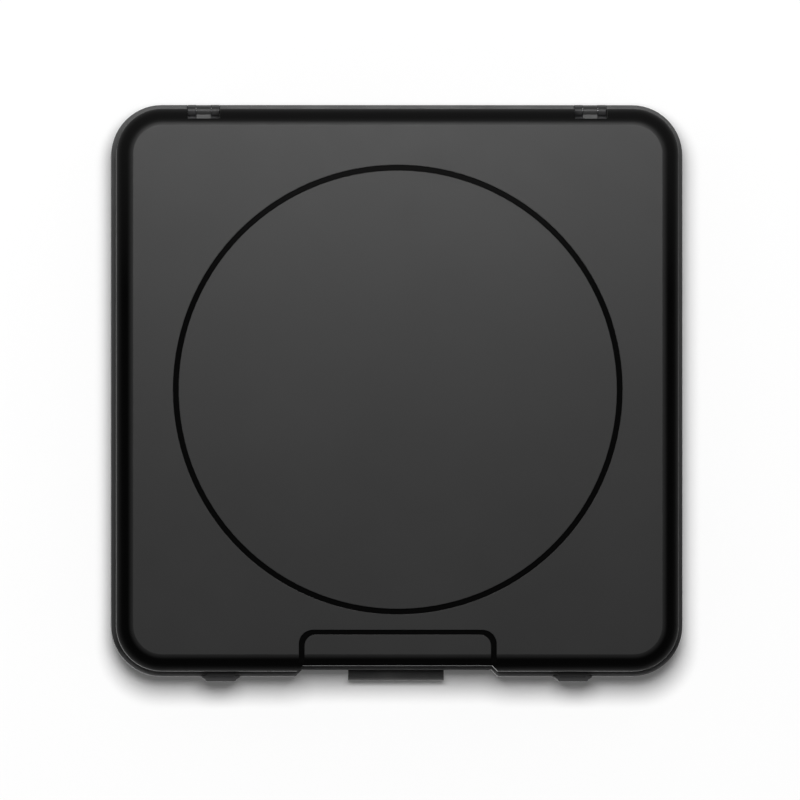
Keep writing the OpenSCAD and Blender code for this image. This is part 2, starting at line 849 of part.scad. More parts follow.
// Grooves in the lid's top: a ring, and a bracket that opens to the front
module lid_grooves() {
    bracket_back = lid_front + panel_d;
    bracket_len = 2 * panel_d;
    translate([0, 0, lid_top - groove_depth]) {
        rotate_extrude($fn = 128)
            translate([ring_r - groove_w / 2, 0]) square([groove_w, groove_depth + cut]);
        linear_extrude(groove_depth + cut) difference() {
            translate([0, bracket_back - bracket_len / 2]) soft_rect(panel_w, bracket_len, panel_r);
            translate([0, bracket_back - groove_w - bracket_len / 2])
                soft_rect(panel_w - 2 * groove_w, bracket_len + cut, panel_r - groove_w / 2);
        }
    }
}

module lid_shell() color(case_black) difference() {
    union() {
        difference() {
            translate([0, 0, lid_z]) soft_block(lid_w, lid_d, lid_top - lid_z, lid_r, lid_edge_r);
            lid_hollow();
            translate([0, 0, lid_z - cut])
                linear_extrude(lid_h + 2 * cut) notch_plan(lid_front, lid_notch_face);
            both_sides(hinge_x) box(
                [-hinge_w / 2 - clear_gap, hinge_cut_y, lid_z - cut],
                [hinge_w / 2 + clear_gap, rear_y + cut, lid_top + cut]
            );
            both_sides(latch_x) box(
                [-latch_lip_w / 2 - clear_gap, lid_front - cut, lid_z - cut],
                [latch_lip_w / 2 + clear_gap, lid_front + cut, rim_z + latch_rise + 2 * clear_gap]
            );
            lid_grooves();
        }
        both_sides(hinge_x) along_x(hinge_w - 2 * hinge_leaf - 2 * clear_gap) {
            translate([hinge_y, hinge_z]) circle(barrel_r);
            translate([hinge_cut_y - cut, hinge_z - barrel_r + cut])
                square([hinge_y - hinge_cut_y + cut, 2 * barrel_r - 2 * cut]);
        }
    }
    both_sides(hinge_x) translate([0, hinge_y, hinge_z]) rod_x(hinge_pin_r + run_gap, hinge_w);
}

module hinge_brackets() color(part_grey) both_sides(hinge_x) difference() {
    union() {
        along_x(hinge_w) translate([rear_y - base_wall, rim_z - hinge_foot]) square([base_wall, hinge_foot]);
        for (side = [-1, 1]) translate([side * (hinge_w - hinge_leaf) / 2, 0, 0]) along_x(hinge_leaf) {
            translate([hinge_y, hinge_z]) circle(barrel_r);
            translate([rear_y - base_wall, rim_z - cut]) square([base_wall, hinge_rise + cut]);
        }
    }
    translate([0, hinge_y, hinge_z]) rod_x(hinge_pin_r + run_gap, hinge_w + cut);
}

module hinge_pins() color(steel_grey) both_sides(hinge_x)
    translate([0, hinge_y, hinge_z]) rod_x(hinge_pin_r, hinge_w);

module latch_pins() color(steel_grey) both_sides(latch_x)
    translate([0, latch_y, latch_z]) rod_x(latch_pin_r, latch_boss_w - cut);

// Plan of a latch: widest near its back, with slanted sides and a round-cornered front
module latch_plan() {
    latch_inner = latch_y + 2 * latch_barrel_r;
    polygon([
        [-latch_w / 2, latch_inner], [-latch_w / 2, latch_back - latch_t / 3],
        [-latch_front_w / 2, latch_back - latch_t * 2 / 3], [latch_front_w / 2, latch_back - latch_t * 2 / 3],
        [latch_w / 2, latch_back - latch_t / 3], [latch_w / 2, latch_inner]
    ]);
    translate([0, latch_back - latch_t / 2]) soft_rect(latch_front_w, latch_t, latch_corner_r);
}

// Flip latch: a plate on a barrel, whose lip lies in a recess of the lid's front
module latch() {
    latch_top = rim_z + latch_rise;
    difference() {
        union() {
            intersection() {
                along_x(latch_w) {
                    translate([latch_y, latch_z]) circle(latch_barrel_r);
                    translate([latch_back - latch_t, latch_z + 1])
                        square([latch_t, latch_top - latch_z - cut]);
                    translate([latch_back - latch_t + 1, latch_z])
                        square([latch_y - latch_back + latch_t, 2.5]);
                }
                translate([0, 0, latch_z - 2 * latch_barrel_r]) linear_extrude(latch_top) latch_plan();
            }
            along_x(latch_lip_w) translate([latch_back - latch_t / 2, rim_z + cut])
                square([lid_front + cut - clear_gap - latch_back + latch_t / 2, latch_rise - cut]);
        }
        translate([0, latch_y, latch_z]) rod_x(latch_pin_r + run_gap, latch_w + cut);
        along_x(latch_w + cut) translate([latch_back - latch_t, latch_top - 5 * latch_groove])
            circle(latch_groove);
        translate([0, latch_back - latch_t / 3, latch_top])
            cube([latch_lip_w - 2, latch_groove, 3 * latch_groove], center = true);
    }
}

module latch_left() color(part_grey) translate([-latch_x, 0, 0]) latch();

module latch_right() color(part_grey) translate([latch_x, 0, 0]) latch();

// Handle: a round rod bent to a bail with end pins, and a grip moulded over its bar
module carry_handle() color(case_black) translate([0, handle_y, handle_z]) {
    arm_mid = arm_out - rod_r;
    pin_end = pocket_w / 2 + pocket_wall - seat_gap;
    translate([0, 0, -handle_drop]) rod_x(rod_r, 2 * (arm_mid - elbow_r));
    for (turn = [0, 180]) rotate(turn) {
        translate([arm_mid - elbow_r, 0, elbow_r - handle_drop]) rotate([90, 0, 0])
            rotate_extrude(angle = 90, start = -90) translate([elbow_r, 0]) circle(rod_r);
        translate([arm_mid, 0, elbow_r - handle_drop]) cylinder(r = rod_r, h = handle_drop - elbow_r);
        translate([arm_mid, 0, 0]) rod_x(rod_r + 1, 2 * rod_r - 1);
        translate([(arm_mid + pin_end) / 2, 0, 0]) rod_x(trunnion_r, pin_end - arm_mid);
    }
}

module handle_grip() color(rubber_black) difference() {
    grip_front = front_y - grip_out;
    grip_back = handle_y + rod_r + 1;
    grip_z = handle_z - handle_drop;
    along_x(grip_w) translate([(grip_front + grip_back) / 2, grip_z])
        soft_rect(grip_back - grip_front, grip_h, grip_edge_r);
    translate([0, handle_y, grip_z]) rod_x(rod_r + run_gap, grip_w + cut);
    for (i = [-2 : 2]) translate([i * grip_w / 6, grip_front, grip_z])
        cylinder(r = flute_r, h = grip_h - 2 * grip_edge_r - cut, center = true);
}

// Platter, bearing and drive

module spindle_bush() color(brass_yellow) translate([disc_x, disc_y, 0]) difference() {
    union() {
        translate([0, 0, bush_end]) cylinder(r = bush_r, h = deck_z - bush_end);
        translate([0, 0, deck_z]) cylinder(r = bush_r + 5, h = bush_flange_h);
    }
    translate([0, 0, bush_end - cut]) cylinder(r = axle_r + run_gap, h = rim_z);
}

module thrust_cup() color(part_grey) translate([disc_x, disc_y, bush_end - cup_h / 2]) difference() {
    cylinder(r = bush_r + 2, h = cup_h);
    translate([0, 0, cup_h / 2]) cylinder(r = bush_r + run_gap, h = cup_h);
}

module platter_spindle() color(steel_grey) translate([disc_x, disc_y, 0]) rotate_extrude() {
    spindle_end = bush_end + seat_gap;
    spindle_top = mat_top + spindle_rise;
    shoulder = mat_top + seat_gap;
    translate([0, spindle_end]) square([axle_r, shoulder - spindle_end]);
    translate([0, shoulder - cut]) square([spindle_r, spindle_top - spindle_r - shoulder + cut]);
    translate([0, spindle_top - spindle_r]) intersection() {
        circle(spindle_r);
        square(spindle_r);
    }
}

module platter() color(alloy_grey) translate([disc_x, disc_y, 0]) difference() {
    hollow_h = platter_h - platter_t + cut;
    rotate_extrude($fn = 128) difference() {
        translate([0, platter_z]) edge_profile(platter_r, platter_h, 1.5, 0);
        translate([hub_r, platter_z - cut]) square([drive_r - skirt_t - hub_r, hollow_h]);
        translate([drive_r, platter_z - cut]) square([platter_r - skirt_t - drive_r, hollow_h]);
        translate([-cut, platter_z - cut]) square([axle_r + run_gap + cut, platter_h + 2 * cut]);
    }
    // Windows for putting the belt on
    for (turn = [90, 270]) rotate(motor_angle + turn) translate([motor_offset, 0, disc_z - cut])
        cylinder(r = 7, h = platter_t + 2 * cut);
}

// Mat with round ribs
module platter_mat() color(rubber_black) translate([disc_x, disc_y, 0]) {
    mat_in = axle_r + seat_gap;
    rotate_extrude($fn = 128) difference() {
        translate([mat_in, platter_top]) square([mat_r - mat_in, mat_t]);
        for (r = [28 : 10 : mat_r - 6]) translate([r, mat_top - mat_t / 3]) square([1.6, mat_t]);
    }
}

// Places of the three ears that hold the motor
module motor_ears() {
    for (turn = [60, 180, 300]) rotate(motor_angle + turn) translate([ear_dist, 0, 0]) children();
}

module drive_motor() color(steel_grey) translate([motor_x, motor_y, 0]) difference() {
    union() {
        translate([0, 0, motor_top - motor_h]) cylinder(r = motor_r, h = motor_h);
        translate([0, 0, motor_top - motor_h - 2]) cylinder(r = 5, h = 3);
        translate([0, 0, motor_top]) {
            linear_extrude(plate_t) {
                circle(motor_r + 1);
                motor_ears() circle(5);
            }
            cylinder(r = 4, h = plate_t + 1.5);
        }
    }
    translate([0, 0, motor_top - motor_h / 2]) cylinder(r = shaft_r + run_gap, h = motor_h);
    motor_ears() translate([0, 0, motor_top - cut])
        cylinder(r = motor_screw_r + seat_gap, h = plate_t + 2 * cut);
}

module motor_grommets() color(rubber_black) translate([motor_x, motor_y, deck_under - grommet_h])
    motor_ears() tube(4.5, motor_screw_r + seat_gap, grommet_h);

module motor_shaft() color(steel_grey) translate([motor_x, motor_y, motor_top - motor_h / 2 + clear_gap])
    cylinder(r = shaft_r, h = pulley_top - motor_top + motor_h / 2 - clear_gap);

module motor_pulley() color(brass_yellow) translate([motor_x, motor_y, pulley_z]) difference() {
    union() {
        cylinder(r = pulley_r, h = pulley_top - pulley_z);
        for (z = [0, pulley_top - pulley_z - pulley_flange]) translate([0, 0, z])
            cylinder(r = pulley_r + belt_t + 0.6, h = pulley_flange);
    }
    translate([0, 0, -cut]) cylinder(r = shaft_r + run_gap, h = pulley_top - pulley_z + 2 * cut);
}

// Flat belt round the driven rim and the pulley: two arcs and two straight runs
module drive_belt() color(rubber_black) translate([disc_x, disc_y, belt_z]) rotate(motor_angle) {
    wheel_r = drive_r + belt_gap;
    small_r = pulley_r + belt_gap;
    wrap = acos((wheel_r - small_r) / motor_offset);
    pulley = [motor_offset, 0];
    run_in = wheel_r + belt_step;
    run_out = wheel_r + belt_t - belt_step;
    rotate_extrude(angle = 360 - 2 * wrap, start = wrap, $fn = 128)
        translate([wheel_r, 0]) square([belt_t, belt_w]);
    translate([motor_offset, 0, 0]) rotate_extrude(angle = 2 * wrap, start = -wrap)
        translate([small_r, 0]) square([belt_t, belt_w]);
    for (side = [-1, 1]) {
        out = [cos(wrap), side * sin(wrap)];
        lap = belt_lap * [sin(wrap), -side * cos(wrap)];
        linear_extrude(belt_w) polygon([
            run_in * out - lap, run_out * out - lap,
            pulley + (run_out - wheel_r + small_r) * out + lap,
            pulley + (run_in - wheel_r + small_r) * out + lap
        ]);
    }
}

// Tonearm, drawn from its pivot with the arm along -Y

module at_arm() {
    translate([pivot_x, pivot_y, 0]) children();
}

// Place of the cue lift's post
module cue_place() {
    rotate(cue_angle) translate([cue_r, 0, 0]) children();
}

module arm_base() color(part_grey) at_arm() difference() {
    union() {
        translate([0, 0, deck_z]) rotate_extrude() edge_profile(arm_base_r, arm_base_h, 2, 0);
        translate([0, 0, spigot_end]) cylinder(r = arm_spigot_r, h = deck_z - spigot_end + cut);
        translate([0, 0, deck_z]) cue_place() cylinder(r = cue_post_r + 2.5, h = cue_guide_h);
        rotate(cue_angle) box([arm_base_r - 3, -2.5, deck_z + 1], [cue_r, 2.5, deck_z + cue_guide_h - 2]);
        box([lever_x - 10, lever_y - 6, deck_z], [lever_x + ear_out, -8, deck_z + 3]);
        for (side = [-1, 1]) translate([lever_x + side * (ear_out - ear_t / 2), lever_y, 0]) along_x(ear_t) {
            translate([-4, deck_z]) square([8, lever_z - deck_z]);
            translate([0, lever_z]) circle(4.4);
        }
    }
    translate([0, 0, spigot_end - cut]) cylinder(r = arm_shaft_r + run_gap, h = rim_z);
    cue_place() cylinder(r = cue_post_r + run_gap, h = rim_z + deck_drop);
    translate([lever_x, lever_y, lever_z]) rod_x(lever_pin_r + run_gap, 2 * ear_out + cut);
}

module arm_yoke() color(alloy_grey) at_arm() difference() {
    union() {
        translate([0, 0, yoke_z]) cylinder(r = yoke_r, h = yoke_t);
        translate([0, 0, spigot_end + 2]) cylinder(r = arm_shaft_r, h = yoke_z - spigot_end - 2 + cut);
        both_sides(cheek_in + cheek_t / 2) along_x(cheek_t) {
            translate([-cheek_r, yoke_z + cut]) square([2 * cheek_r, arm_z - yoke_z - cut]);
            translate([0, arm_z]) circle(cheek_r + 0.5);
        }
    }
    translate([0, 0, arm_z]) rod_x(arm_pin_r + run_gap, 2 * (cheek_in + cheek_t) + cut);
}

module arm_pin() color(steel_grey) at_arm()
    translate([0, 0, arm_z]) rod_x(arm_pin_r, 2 * (cheek_in + cheek_t));

module arm_tube() color(alloy_grey) at_arm() difference() {
    union() {
        along_x(2 * (cheek_in - 2 * clear_gap)) translate([0, arm_z + 0.3]) soft_rect(18, 8.4, 3);
        translate([0, -8, arm_z]) rotate([90, 0, 0]) cylinder(r1 = tube_r, r2 = tube_end_r, h = tube_len - 8);
        translate([0, 0, arm_z]) rod_y(stub_r, 8, weight_end - 2);
    }
    translate([0, 0, arm_z]) rod_x(arm_pin_r + run_gap, 2 * cheek_in);
}

module counterweight() color(part_grey) at_arm() translate([0, 0, arm_z]) difference() {
    rod_y(weight_r, weight_end - weight_len, weight_end);
    rod_y(stub_r + run_gap, 0, weight_end - 1);
    translate([0, weight_end - weight_len / 2, 0]) rotate([90, 0, 0]) rotate_extrude()
        translate([weight_r, 0]) circle(1);
}

module headshell() color(part_grey) at_arm() {
    front = -arm_len - 12;
    neck = -tube_len - 10;
    half = shell_w / 2;
    lip = 1.6;
    translate([0, 0, shell_under]) difference() {
        linear_extrude(shell_h) polygon([
            [-5, -tube_len + 2], [-half, neck], [-half, front + 4], [4 - half, front],
            [half - 4, front], [half, front + 4], [half, neck], [5, -tube_len + 2]
        ]);
        box([lip - half, front + lip + 3, -cut], [half - lip, neck, shell_h - 2]);
        translate([0, 0, arm_z - shell_under]) rod_y(tube_end_r + run_gap, -tube_len, 0);
    }
    translate([0, 0, arm_z]) difference() {
        rod_y(tube_end_r + 1.6, -tube_len - 2, -tube_len + 10);
        rod_y(tube_end_r + 2 * run_gap, -tube_len, 0);
    }
    // Finger lift
    translate([half, -arm_len + 2, shell_under + 1]) rotate([90, 0, 0]) linear_extrude(5)
        polygon([[-1, 0], [7, 0], [11, 4], [10, 5], [6.4, 1.5], [-1, 1.5]]);
}

module cartridge() color(rubber_black) at_arm() {
    back = -arm_len + 17;
    front = -arm_len - 7;
    top = shell_under + shell_h - 2;
    bottom = tip_z + 3.3;
    along_x(shell_w - 3.6) polygon([
        [back, top], [back, bottom + 2], [back - 5, bottom],
        [front + 2, bottom], [front, bottom + 2], [front, top]
    ]);
}

module stylus() color(stylus_red) at_arm() {
    top = tip_z + 3.3;
    along_x(6) polygon([
        [-arm_len + 9, top], [-arm_len + 9, top - 1], [-arm_len - 5, top - 1.9],
        [-arm_len - 9, top - 1.4], [-arm_len - 9, top - 0.4], [-arm_len - 6, top]
    ]);
    translate([0, -arm_len, tip_z]) cylinder(r1 = 0.2, r2 = 0.7, h = 1.8);
}

module arm_rest() color(part_grey) at_arm() translate([0, -rest_dist, 0]) difference() {
    union() {
        box([-1, -8, deck_z], [rest_out + 4, 8, deck_z + 3]);
        box([rest_in, -5, deck_z], [rest_out, 5, clip_z - 3]);
        rotate([90, 0, 0]) linear_extrude(8, center = true) polygon([
            [-rest_tube_r, rest_top], [rest_in + cut, rest_top],
            [rest_in + cut, rest_top - 10], [-rest_tube_r, rest_top - 3]
        ]);
        for (y = [-4, 4]) translate([0, y, 0]) rotate([90, 0, 0]) linear_extrude(2, center = true) {
            translate([rest_in, clip_z - 4]) square([rest_out - rest_in, 4]);
            translate([clip_x, clip_z]) circle(3);
        }
    }
    translate([clip_x, 0, clip_z]) rod_y(clip_pin_r + run_gap, -6, 6);
}

module arm_clip() color(case_black) at_arm() translate([clip_x, -rest_dist, clip_z]) {
    rod_y(2, -2.8, 2.8);
    rod_y(clip_pin_r, -4.8, 4.8);
    box([-clip_t / 2, -2.8, 0], [clip_t / 2, 2.8, clip_reach + 1.8]);
    box([-5.5, -2.8, clip_reach], [-clip_t / 2 + 0.5, 2.8, clip_reach + 1.8]);
}

module cue_lift() color(rubber_black) at_arm() {
    translate([0, 0, cue_top - 3]) rotate_extrude(angle = 54, start = cue_angle - 27)
        translate([cue_r - 1.6, 0]) square([3.2, 3]);
    translate([0, 0, deck_under - 3]) cue_place() cylinder(r = cue_post_r, h = cue_top - deck_under + 1);
}

module cue_lever() color(alloy_grey) at_arm() translate([lever_x, lever_y, lever_z]) {
    rod_x(lever_boss_r, 2 * (ear_out - ear_t) - clear_gap);
    rod_x(lever_pin_r, 2 * ear_out - clear_gap);
    box([-lever_w / 2, -lever_len, -lever_t / 2], [lever_w / 2, 0, lever_t / 2]);
    translate([0, -lever_len - lever_w / 2, -lever_t / 2]) linear_extrude(lever_t)
        soft_rect(2 * lever_w + 1, 2 * lever_w + 2, 3);
}

// Controls on the deck

// Knob with a fluted side, a pointer groove and its shaft
module knob() {
    difference() {
        union() {
            translate([0, 0, deck_z + 0.6]) cylinder(r = knob_r, h = 2);
            translate([0, 0, deck_z + 2.6]) rotate_extrude() edge_profile(knob_r - 1, knob_h - 2.6, 1, 0);
            translate([0, 0, board_top + pot_floor]) cylinder(r = pot_shaft_r, h = deck_z - board_top);
        }
        for (i = [0 : 17]) rotate(20 * i) translate([knob_r - 0.6, 0, deck_z + 4])
            cylinder(r = 0.8, h = knob_h);
        translate([0, knob_r / 2, deck_z + knob_h]) cube([1.2, knob_r, 1.2], center = true);
    }
}

module volume_knob() color(case_black) translate([row_left, control_y, 0]) knob();

module tone_knob() color(case_black) translate([tone_at, control_y, 0]) knob();

module pitch_knob() color(case_black) translate([row_right, control_y, 0]) knob();

module power_button() color(part_grey) translate([power_at, control_y, 0]) difference() {
    union() {
        translate([0, 0, deck_under - 1.6]) cylinder(r = button_r, h = deck_t + 5);
        translate([0, 0, deck_under - 1.6]) cylinder(r = button_r + 1.2, h = 1.3);
    }
    translate([0, 0, deck_z + 3.4 + 18]) sphere(18.6);
}

module power_lamp() color(stylus_red) translate([lamp_at, control_y, 0]) rotate_extrude() {
    translate([0, deck_under - 1.5]) square([lamp_r + 0.8, 1.3]);
    translate([0, deck_under - 1]) square([lamp_r, deck_t + 1]);
    translate([0, deck_z]) intersection() {
        circle(lamp_r);
        square(lamp_r);
    }
}

// Slider cap with grip ridges, on a stem through the deck
module slider(base_z, cap) {
    stem_end = deck_under - 5;
    translate([-stem_l / 2, -stem_w / 2, stem_end]) cube([stem_l, stem_w, base_z + cut - stem_end]);
    translate([0, 0, base_z]) difference() {
        linear_extrude(cap.z) soft_rect(cap.x, cap.y, 1);
        for (i = [-1 : 1]) translate([i * cap.x / 4, 0, cap.z])
            cube([cap.x / 9, cap.y + cut, 1.2], center = true);
    }
}

module speed_slider() color(part_grey) translate([speed_at, control_y, 0])
    slider(deck_z + clear_gap, switch_cap);

module autostop_slider() color(part_grey) translate([autostop_at, autostop_y, 0])
    slider(deck_z + clear_gap, switch_cap);

module fader_plate() color(part_grey) translate([fader_at, fader_y, deck_z]) difference() {
    through = fader_plate_t + 2 * cut;
    linear_extrude(fader_plate_t) soft_rect(2 * (fader_travel + fader_margin), fader_plate_d, 2);
    translate([0, 0, -cut]) slider_slot(fader_travel, through);
    both_sides(fader_travel + fader_screw_out) translate([0, 0, -cut])
        cylinder(r = fader_screw_r, h = through);
}

module fader_cap() color(case_black) translate([fader_at, fader_y, 0])
    slider(deck_z + fader_plate_t + clear_gap, fader_cap_size);

module adapter_45() color(part_grey) translate([store_x, store_y, deck_z + adapter_land_h]) difference() {
    disc_h = 4;
    boss_r = 10;
    boss_h = 5;
    hole_r = 2.6;
    hole_dist = (adapter_r + boss_r - 1) / 2;
    through = boss_h + 2 * cut;
    rotate_extrude() {
        edge_profile(adapter_r, disc_h, 1, 0.6);
        edge_profile(boss_r, boss_h, 1, 0);
    }
    translate([0, 0, -cut]) cylinder(r = peg_r + seat_gap, h = through);
    for (turn = [0, 120, 240]) rotate(turn) translate([hole_dist, 0, -cut]) cylinder(r = hole_r, h = through);
}

// Speaker under the grille

module speaker_frame() color(steel_grey) translate([horn_x, horn_y, 0]) {
    neck_z = deck_under - 17;
    neck_r = 13;
    pole_r = 9;
    basket_t = 1.5;
    magnet_r = 15;
    magnet_h = 9;
    rim_in = speaker_r - speaker_rim_w;
    rim_under = deck_under - speaker_rim_h;
    difference() {
        rotate_extrude() {
            translate([rim_in, rim_under]) square([speaker_rim_w, speaker_rim_h]);
            polygon([
                [rim_in, rim_under], [speaker_r - basket_t, rim_under], [neck_r, neck_z], [pole_r, neck_z],
                [pole_r, neck_z + basket_t], [neck_r - 1.4, neck_z + basket_t]
            ]);
        }
        for (turn = [45 : 90 : 315]) rotate(turn) translate([neck_r + 4, 0, neck_z + 7])
            cube([14, 14, 7], center = true);
    }
    translate([0, 0, neck_z - magnet_h]) cylinder(r = magnet_r, h = magnet_h);
}

module speaker_cone() color(paper_dark) translate([horn_x, horn_y, 0]) rotate_extrude() {
    edge = speaker_r - speaker_rim_w - seat_gap;
    rim = deck_under - 1.5;
    polygon([
        [edge, rim], [edge, rim - 1], [edge - 3, rim - 1], [7, rim - 11],
        [0, rim - 9], [0, rim - 8], [7, rim - 9.6], [edge - 3.4, rim]
    ]);
}

// Electrics in the base

// Places of the screws that hold the board
module board_corners() {
    for (
        x = [(row_left + tone_at) / 2, row_right + board_right - board_hole_side],
        y = [control_y - board_front + board_hole_in, control_y + board_back - board_hole_in]
    ) translate([x, y, 0]) children();
}

module main_board() color(board_green) difference() {
    box(
        [row_left - board_left, control_y - board_front, board_z],
        [row_right + board_right, control_y + board_back, board_top]
    );
    board_corners() translate([0, 0, board_z - cut])
        cylinder(r = board_screw_r + seat_gap, h = board_t + 2 * cut);
}

module board_parts() color(rubber_black) translate([0, 0, board_top]) {
    can_r = 4;
    can_h = 8;
    can_pitch = 13 * row_share;
    chip = [10, 7, 2];
    chip_pitch = 14 * row_share;
    sink = [14, 12, 2];
    fin = [1.6, 12, 7];
    parts_y = control_y + board_back / 2 - 3;
    for (i = [0 : 3]) translate([row_left + 2 + i * can_pitch, parts_y + sink.y / 2, 0])
        cylinder(r = can_r, h = can_h);
    for (i = [0 : 2]) translate([power_at + i * chip_pitch, parts_y + 2, 0]) cube(chip);
    // Finned heat sink
    translate([row_right - 8, parts_y, 0]) {
        cube(sink);
        for (i = [0 : 3]) translate([i * 4, 0, 0]) cube(fin);
    }
}

// Potentiometer on the board, with its bushing up through the deck
module pot() {
    difference() {
        union() {
            translate([-pot_w / 2, -pot_w / 2, board_top]) cube([pot_w, pot_w, pot_h]);
            translate([0, 0, board_top]) cylinder(r = pot_bush_r, h = deck_z - board_top);
        }
        translate([0, 0, board_top + pot_floor - clear_gap]) cylinder(r = pot_shaft_r + run_gap, h = rim_z);
    }
}

module control_pots() color(steel_grey)
    for (x = [row_left, tone_at, row_right]) translate([x, control_y, 0]) pot();

// Body of a slide switch, hung under the deck
module slide_switch(travel, margin, width) {
    depth = 8;
    translate([0, 0, deck_under - depth]) difference() {
        translate([-travel - margin, -width / 2, 0]) cube([2 * (travel + margin), width, depth]);
        translate([0, 0, 2]) slider_slot(travel, depth);
    }
}

module switch_bodies() color(steel_grey) {
    translate([speed_at, control_y, 0]) slide_switch(speed_travel, 6, 10);
    translate([autostop_at, autostop_y, 0]) slide_switch(autostop_travel, 6, 10);
    translate([fader_at, fader_y, 0]) slide_switch(fader_travel, 9, 12);
    translate([power_at - button_r, control_y - button_r, board_top])
        cube([2 * button_r, 2 * button_r, pot_h - 1.4]);
}

// Sockets

module usb_outline(grow, from, to) {
    box([-usb_w / 2 - grow, from, -usb_h / 2 - grow], [usb_w / 2 + grow, to, usb_h / 2 + grow]);
}

// Places of the two line-out sockets
module line_places() {
    for (i = [0, 1]) translate([line_x + i * line_pitch, 0, socket_z]) children();
}

module line_out_block() color(rubber_black) {
    difference() {
        box(
            [line_x - line_margin, panel_in - socket_back, socket_z - line_margin],
            [line_x + line_pitch + line_margin, panel_in, socket_z + line_margin]
        );
        line_places() rod_y(line_root_r + run_gap, sleeve_end - run_gap, panel_in + cut);
    }
    line_places() difference() {
        rod_y(line_core_r, sleeve_end - cut, socket_face + line_out - 1.5);
        rod_y(line_hole_r, socket_face - 8, socket_face + 8);
    }
}

module line_out_sleeves() color(alloy_grey) line_places() difference() {
    union() {
        rod_y(line_root_r, sleeve_end, socket_face + cut);
        rod_y(line_r, socket_face + clear_gap, socket_face + line_out);
    }
    rod_y(line_core_r + run_gap, sleeve_end - cut, socket_face + line_out + cut);
}

module usb_socket() color(steel_grey) translate([usb_x, 0, socket_z]) {
    difference() {
        union() {
            usb_outline(0, panel_in - socket_back, socket_face + 1);
            usb_outline(2, panel_in - socket_back, panel_in);
        }
        usb_outline(-usb_wall, panel_in - 10, socket_face + 2);
    }
    box([-2.8, panel_in - 11, -1.6], [2.8, socket_face, 1.6]);
}

module power_socket() color(rubber_black) translate([dc_x, 0, socket_z]) {
    difference() {
        union() {
            rod_y(dc_r, panel_in - dc_back, socket_face + 1);
            box(
                [-dc_body_w / 2, panel_in - dc_back, -dc_body_w / 2],
                [dc_body_w / 2, panel_in, dc_body_w / 2]
            );
        }
        rod_y(dc_hole_r, panel_in - dc_back + 3, socket_face + 2);
    }
    rod_y(1, panel_in - 10, socket_face);
}

module phone_socket() color(rubber_black) translate([phone_at, 0, phone_z]) difference() {
    wall_in = front_y + base_wall;
    union() {
        rod_y(phone_r, front_y + seat_gap, wall_in + cut);
        box(
            [-phone_body_w / 2, wall_in, -phone_body_h / 2],
            [phone_body_w / 2, wall_in + phone_body_len, phone_body_h / 2]
        );
    }
    rod_y(phone_bore_r, front_y - cut, wall_in + phone_body_len - 4);
}

// Battery bay in the base's floor

module battery_tray() color(case_black) translate([bay_x, tray_y, floor_z]) {
    half_l = tray_l / 2;
    half_d = tray_d / 2;
    difference() {
        union() {
            box(
                [-half_l - tray_wall, -half_d - tray_wall, 0],
                [half_l + tray_wall, half_d + tray_wall, tray_h + tray_wall]
            );
            box(
                [-half_l - tray_flange, -half_d - tray_flange, 0],
                [half_l + tray_flange, half_d + tray_flange, tray_flange_t]
            );
        }
        box([-half_l, -half_d, -cut], [half_l, half_d, tray_h]);
    }
    box([-half_l + 8, -0.6, tray_h - 12], [half_l - 8, 0.6, tray_h + cut]);
    four_corners(half_l - 2, half_d - 3) box([-2.5, -3.5, 0], [2.5, 3.5, tray_h + cut]);
}

// Leaf contacts at the ends of the two rows of cells
module battery_contacts() color(alloy_grey) translate([bay_x, tray_y, floor_z]) {
    for (end = [0, 180], row = [-1, 1]) rotate(end) translate([tray_l / 2, row * cell_d / 2, cell_d / 2])
        rotate([90, 0, 0]) linear_extrude(14, center = true) polygon([
            [0, -9], [0, 10], [-0.5, 10], [-0.5, -7.6], [-3.6, 0],
            [-2.2, 3.6], [-2.6, 3.9], [-4.2, 0], [-0.6, -9]
        ]);
}

module battery_door() color(case_black) translate([bay_x, tray_y, floor_z - door_t]) difference() {
    linear_extrude(door_t)
        soft_rect(opening_l - 2 * seat_gap, opening_d - 2 * seat_gap, door_corner_r - seat_gap);
    for (i = [0 : 2]) translate([opening_l / 2 - 10 - 4 * i, 0, 0]) cube([2, 24, 1.6], center = true);
}

base_shell();
deck_tray();
rubber_feet();
case_screws();
inner_screws();
hinge_brackets();
hinge_pins();
latch_pins();
lid_shell();
latch_left();
latch_right();
carry_handle();
handle_grip();
spindle_bush();
thrust_cup();
platter();
platter_mat();
platter_spindle();
drive_motor();
motor_grommets();
motor_shaft();
motor_pulley();
drive_belt();
arm_base();
arm_yoke();
arm_pin();
arm_tube();
counterweight();
headshell();
cartridge();
stylus();
arm_rest();
arm_clip();
cue_lift();
cue_lever();
volume_knob();
tone_knob();
pitch_knob();
power_button();
power_lamp();
speed_slider();
autostop_slider();
fader_plate();
fader_cap();
adapter_45();
speaker_frame();
speaker_cone();
main_board();
board_parts();
control_pots();
switch_bodies();
line_out_block();
line_out_sleeves();
usb_socket();
power_socket();
phone_socket();
battery_tray();
battery_contacts();
battery_door();
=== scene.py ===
"""Looks of the portable turntable: finishes, printed marks, small trim, floor, lamps and camera."""

import json
import math

import bmesh
import bpy
from mathutils import Matrix, Vector


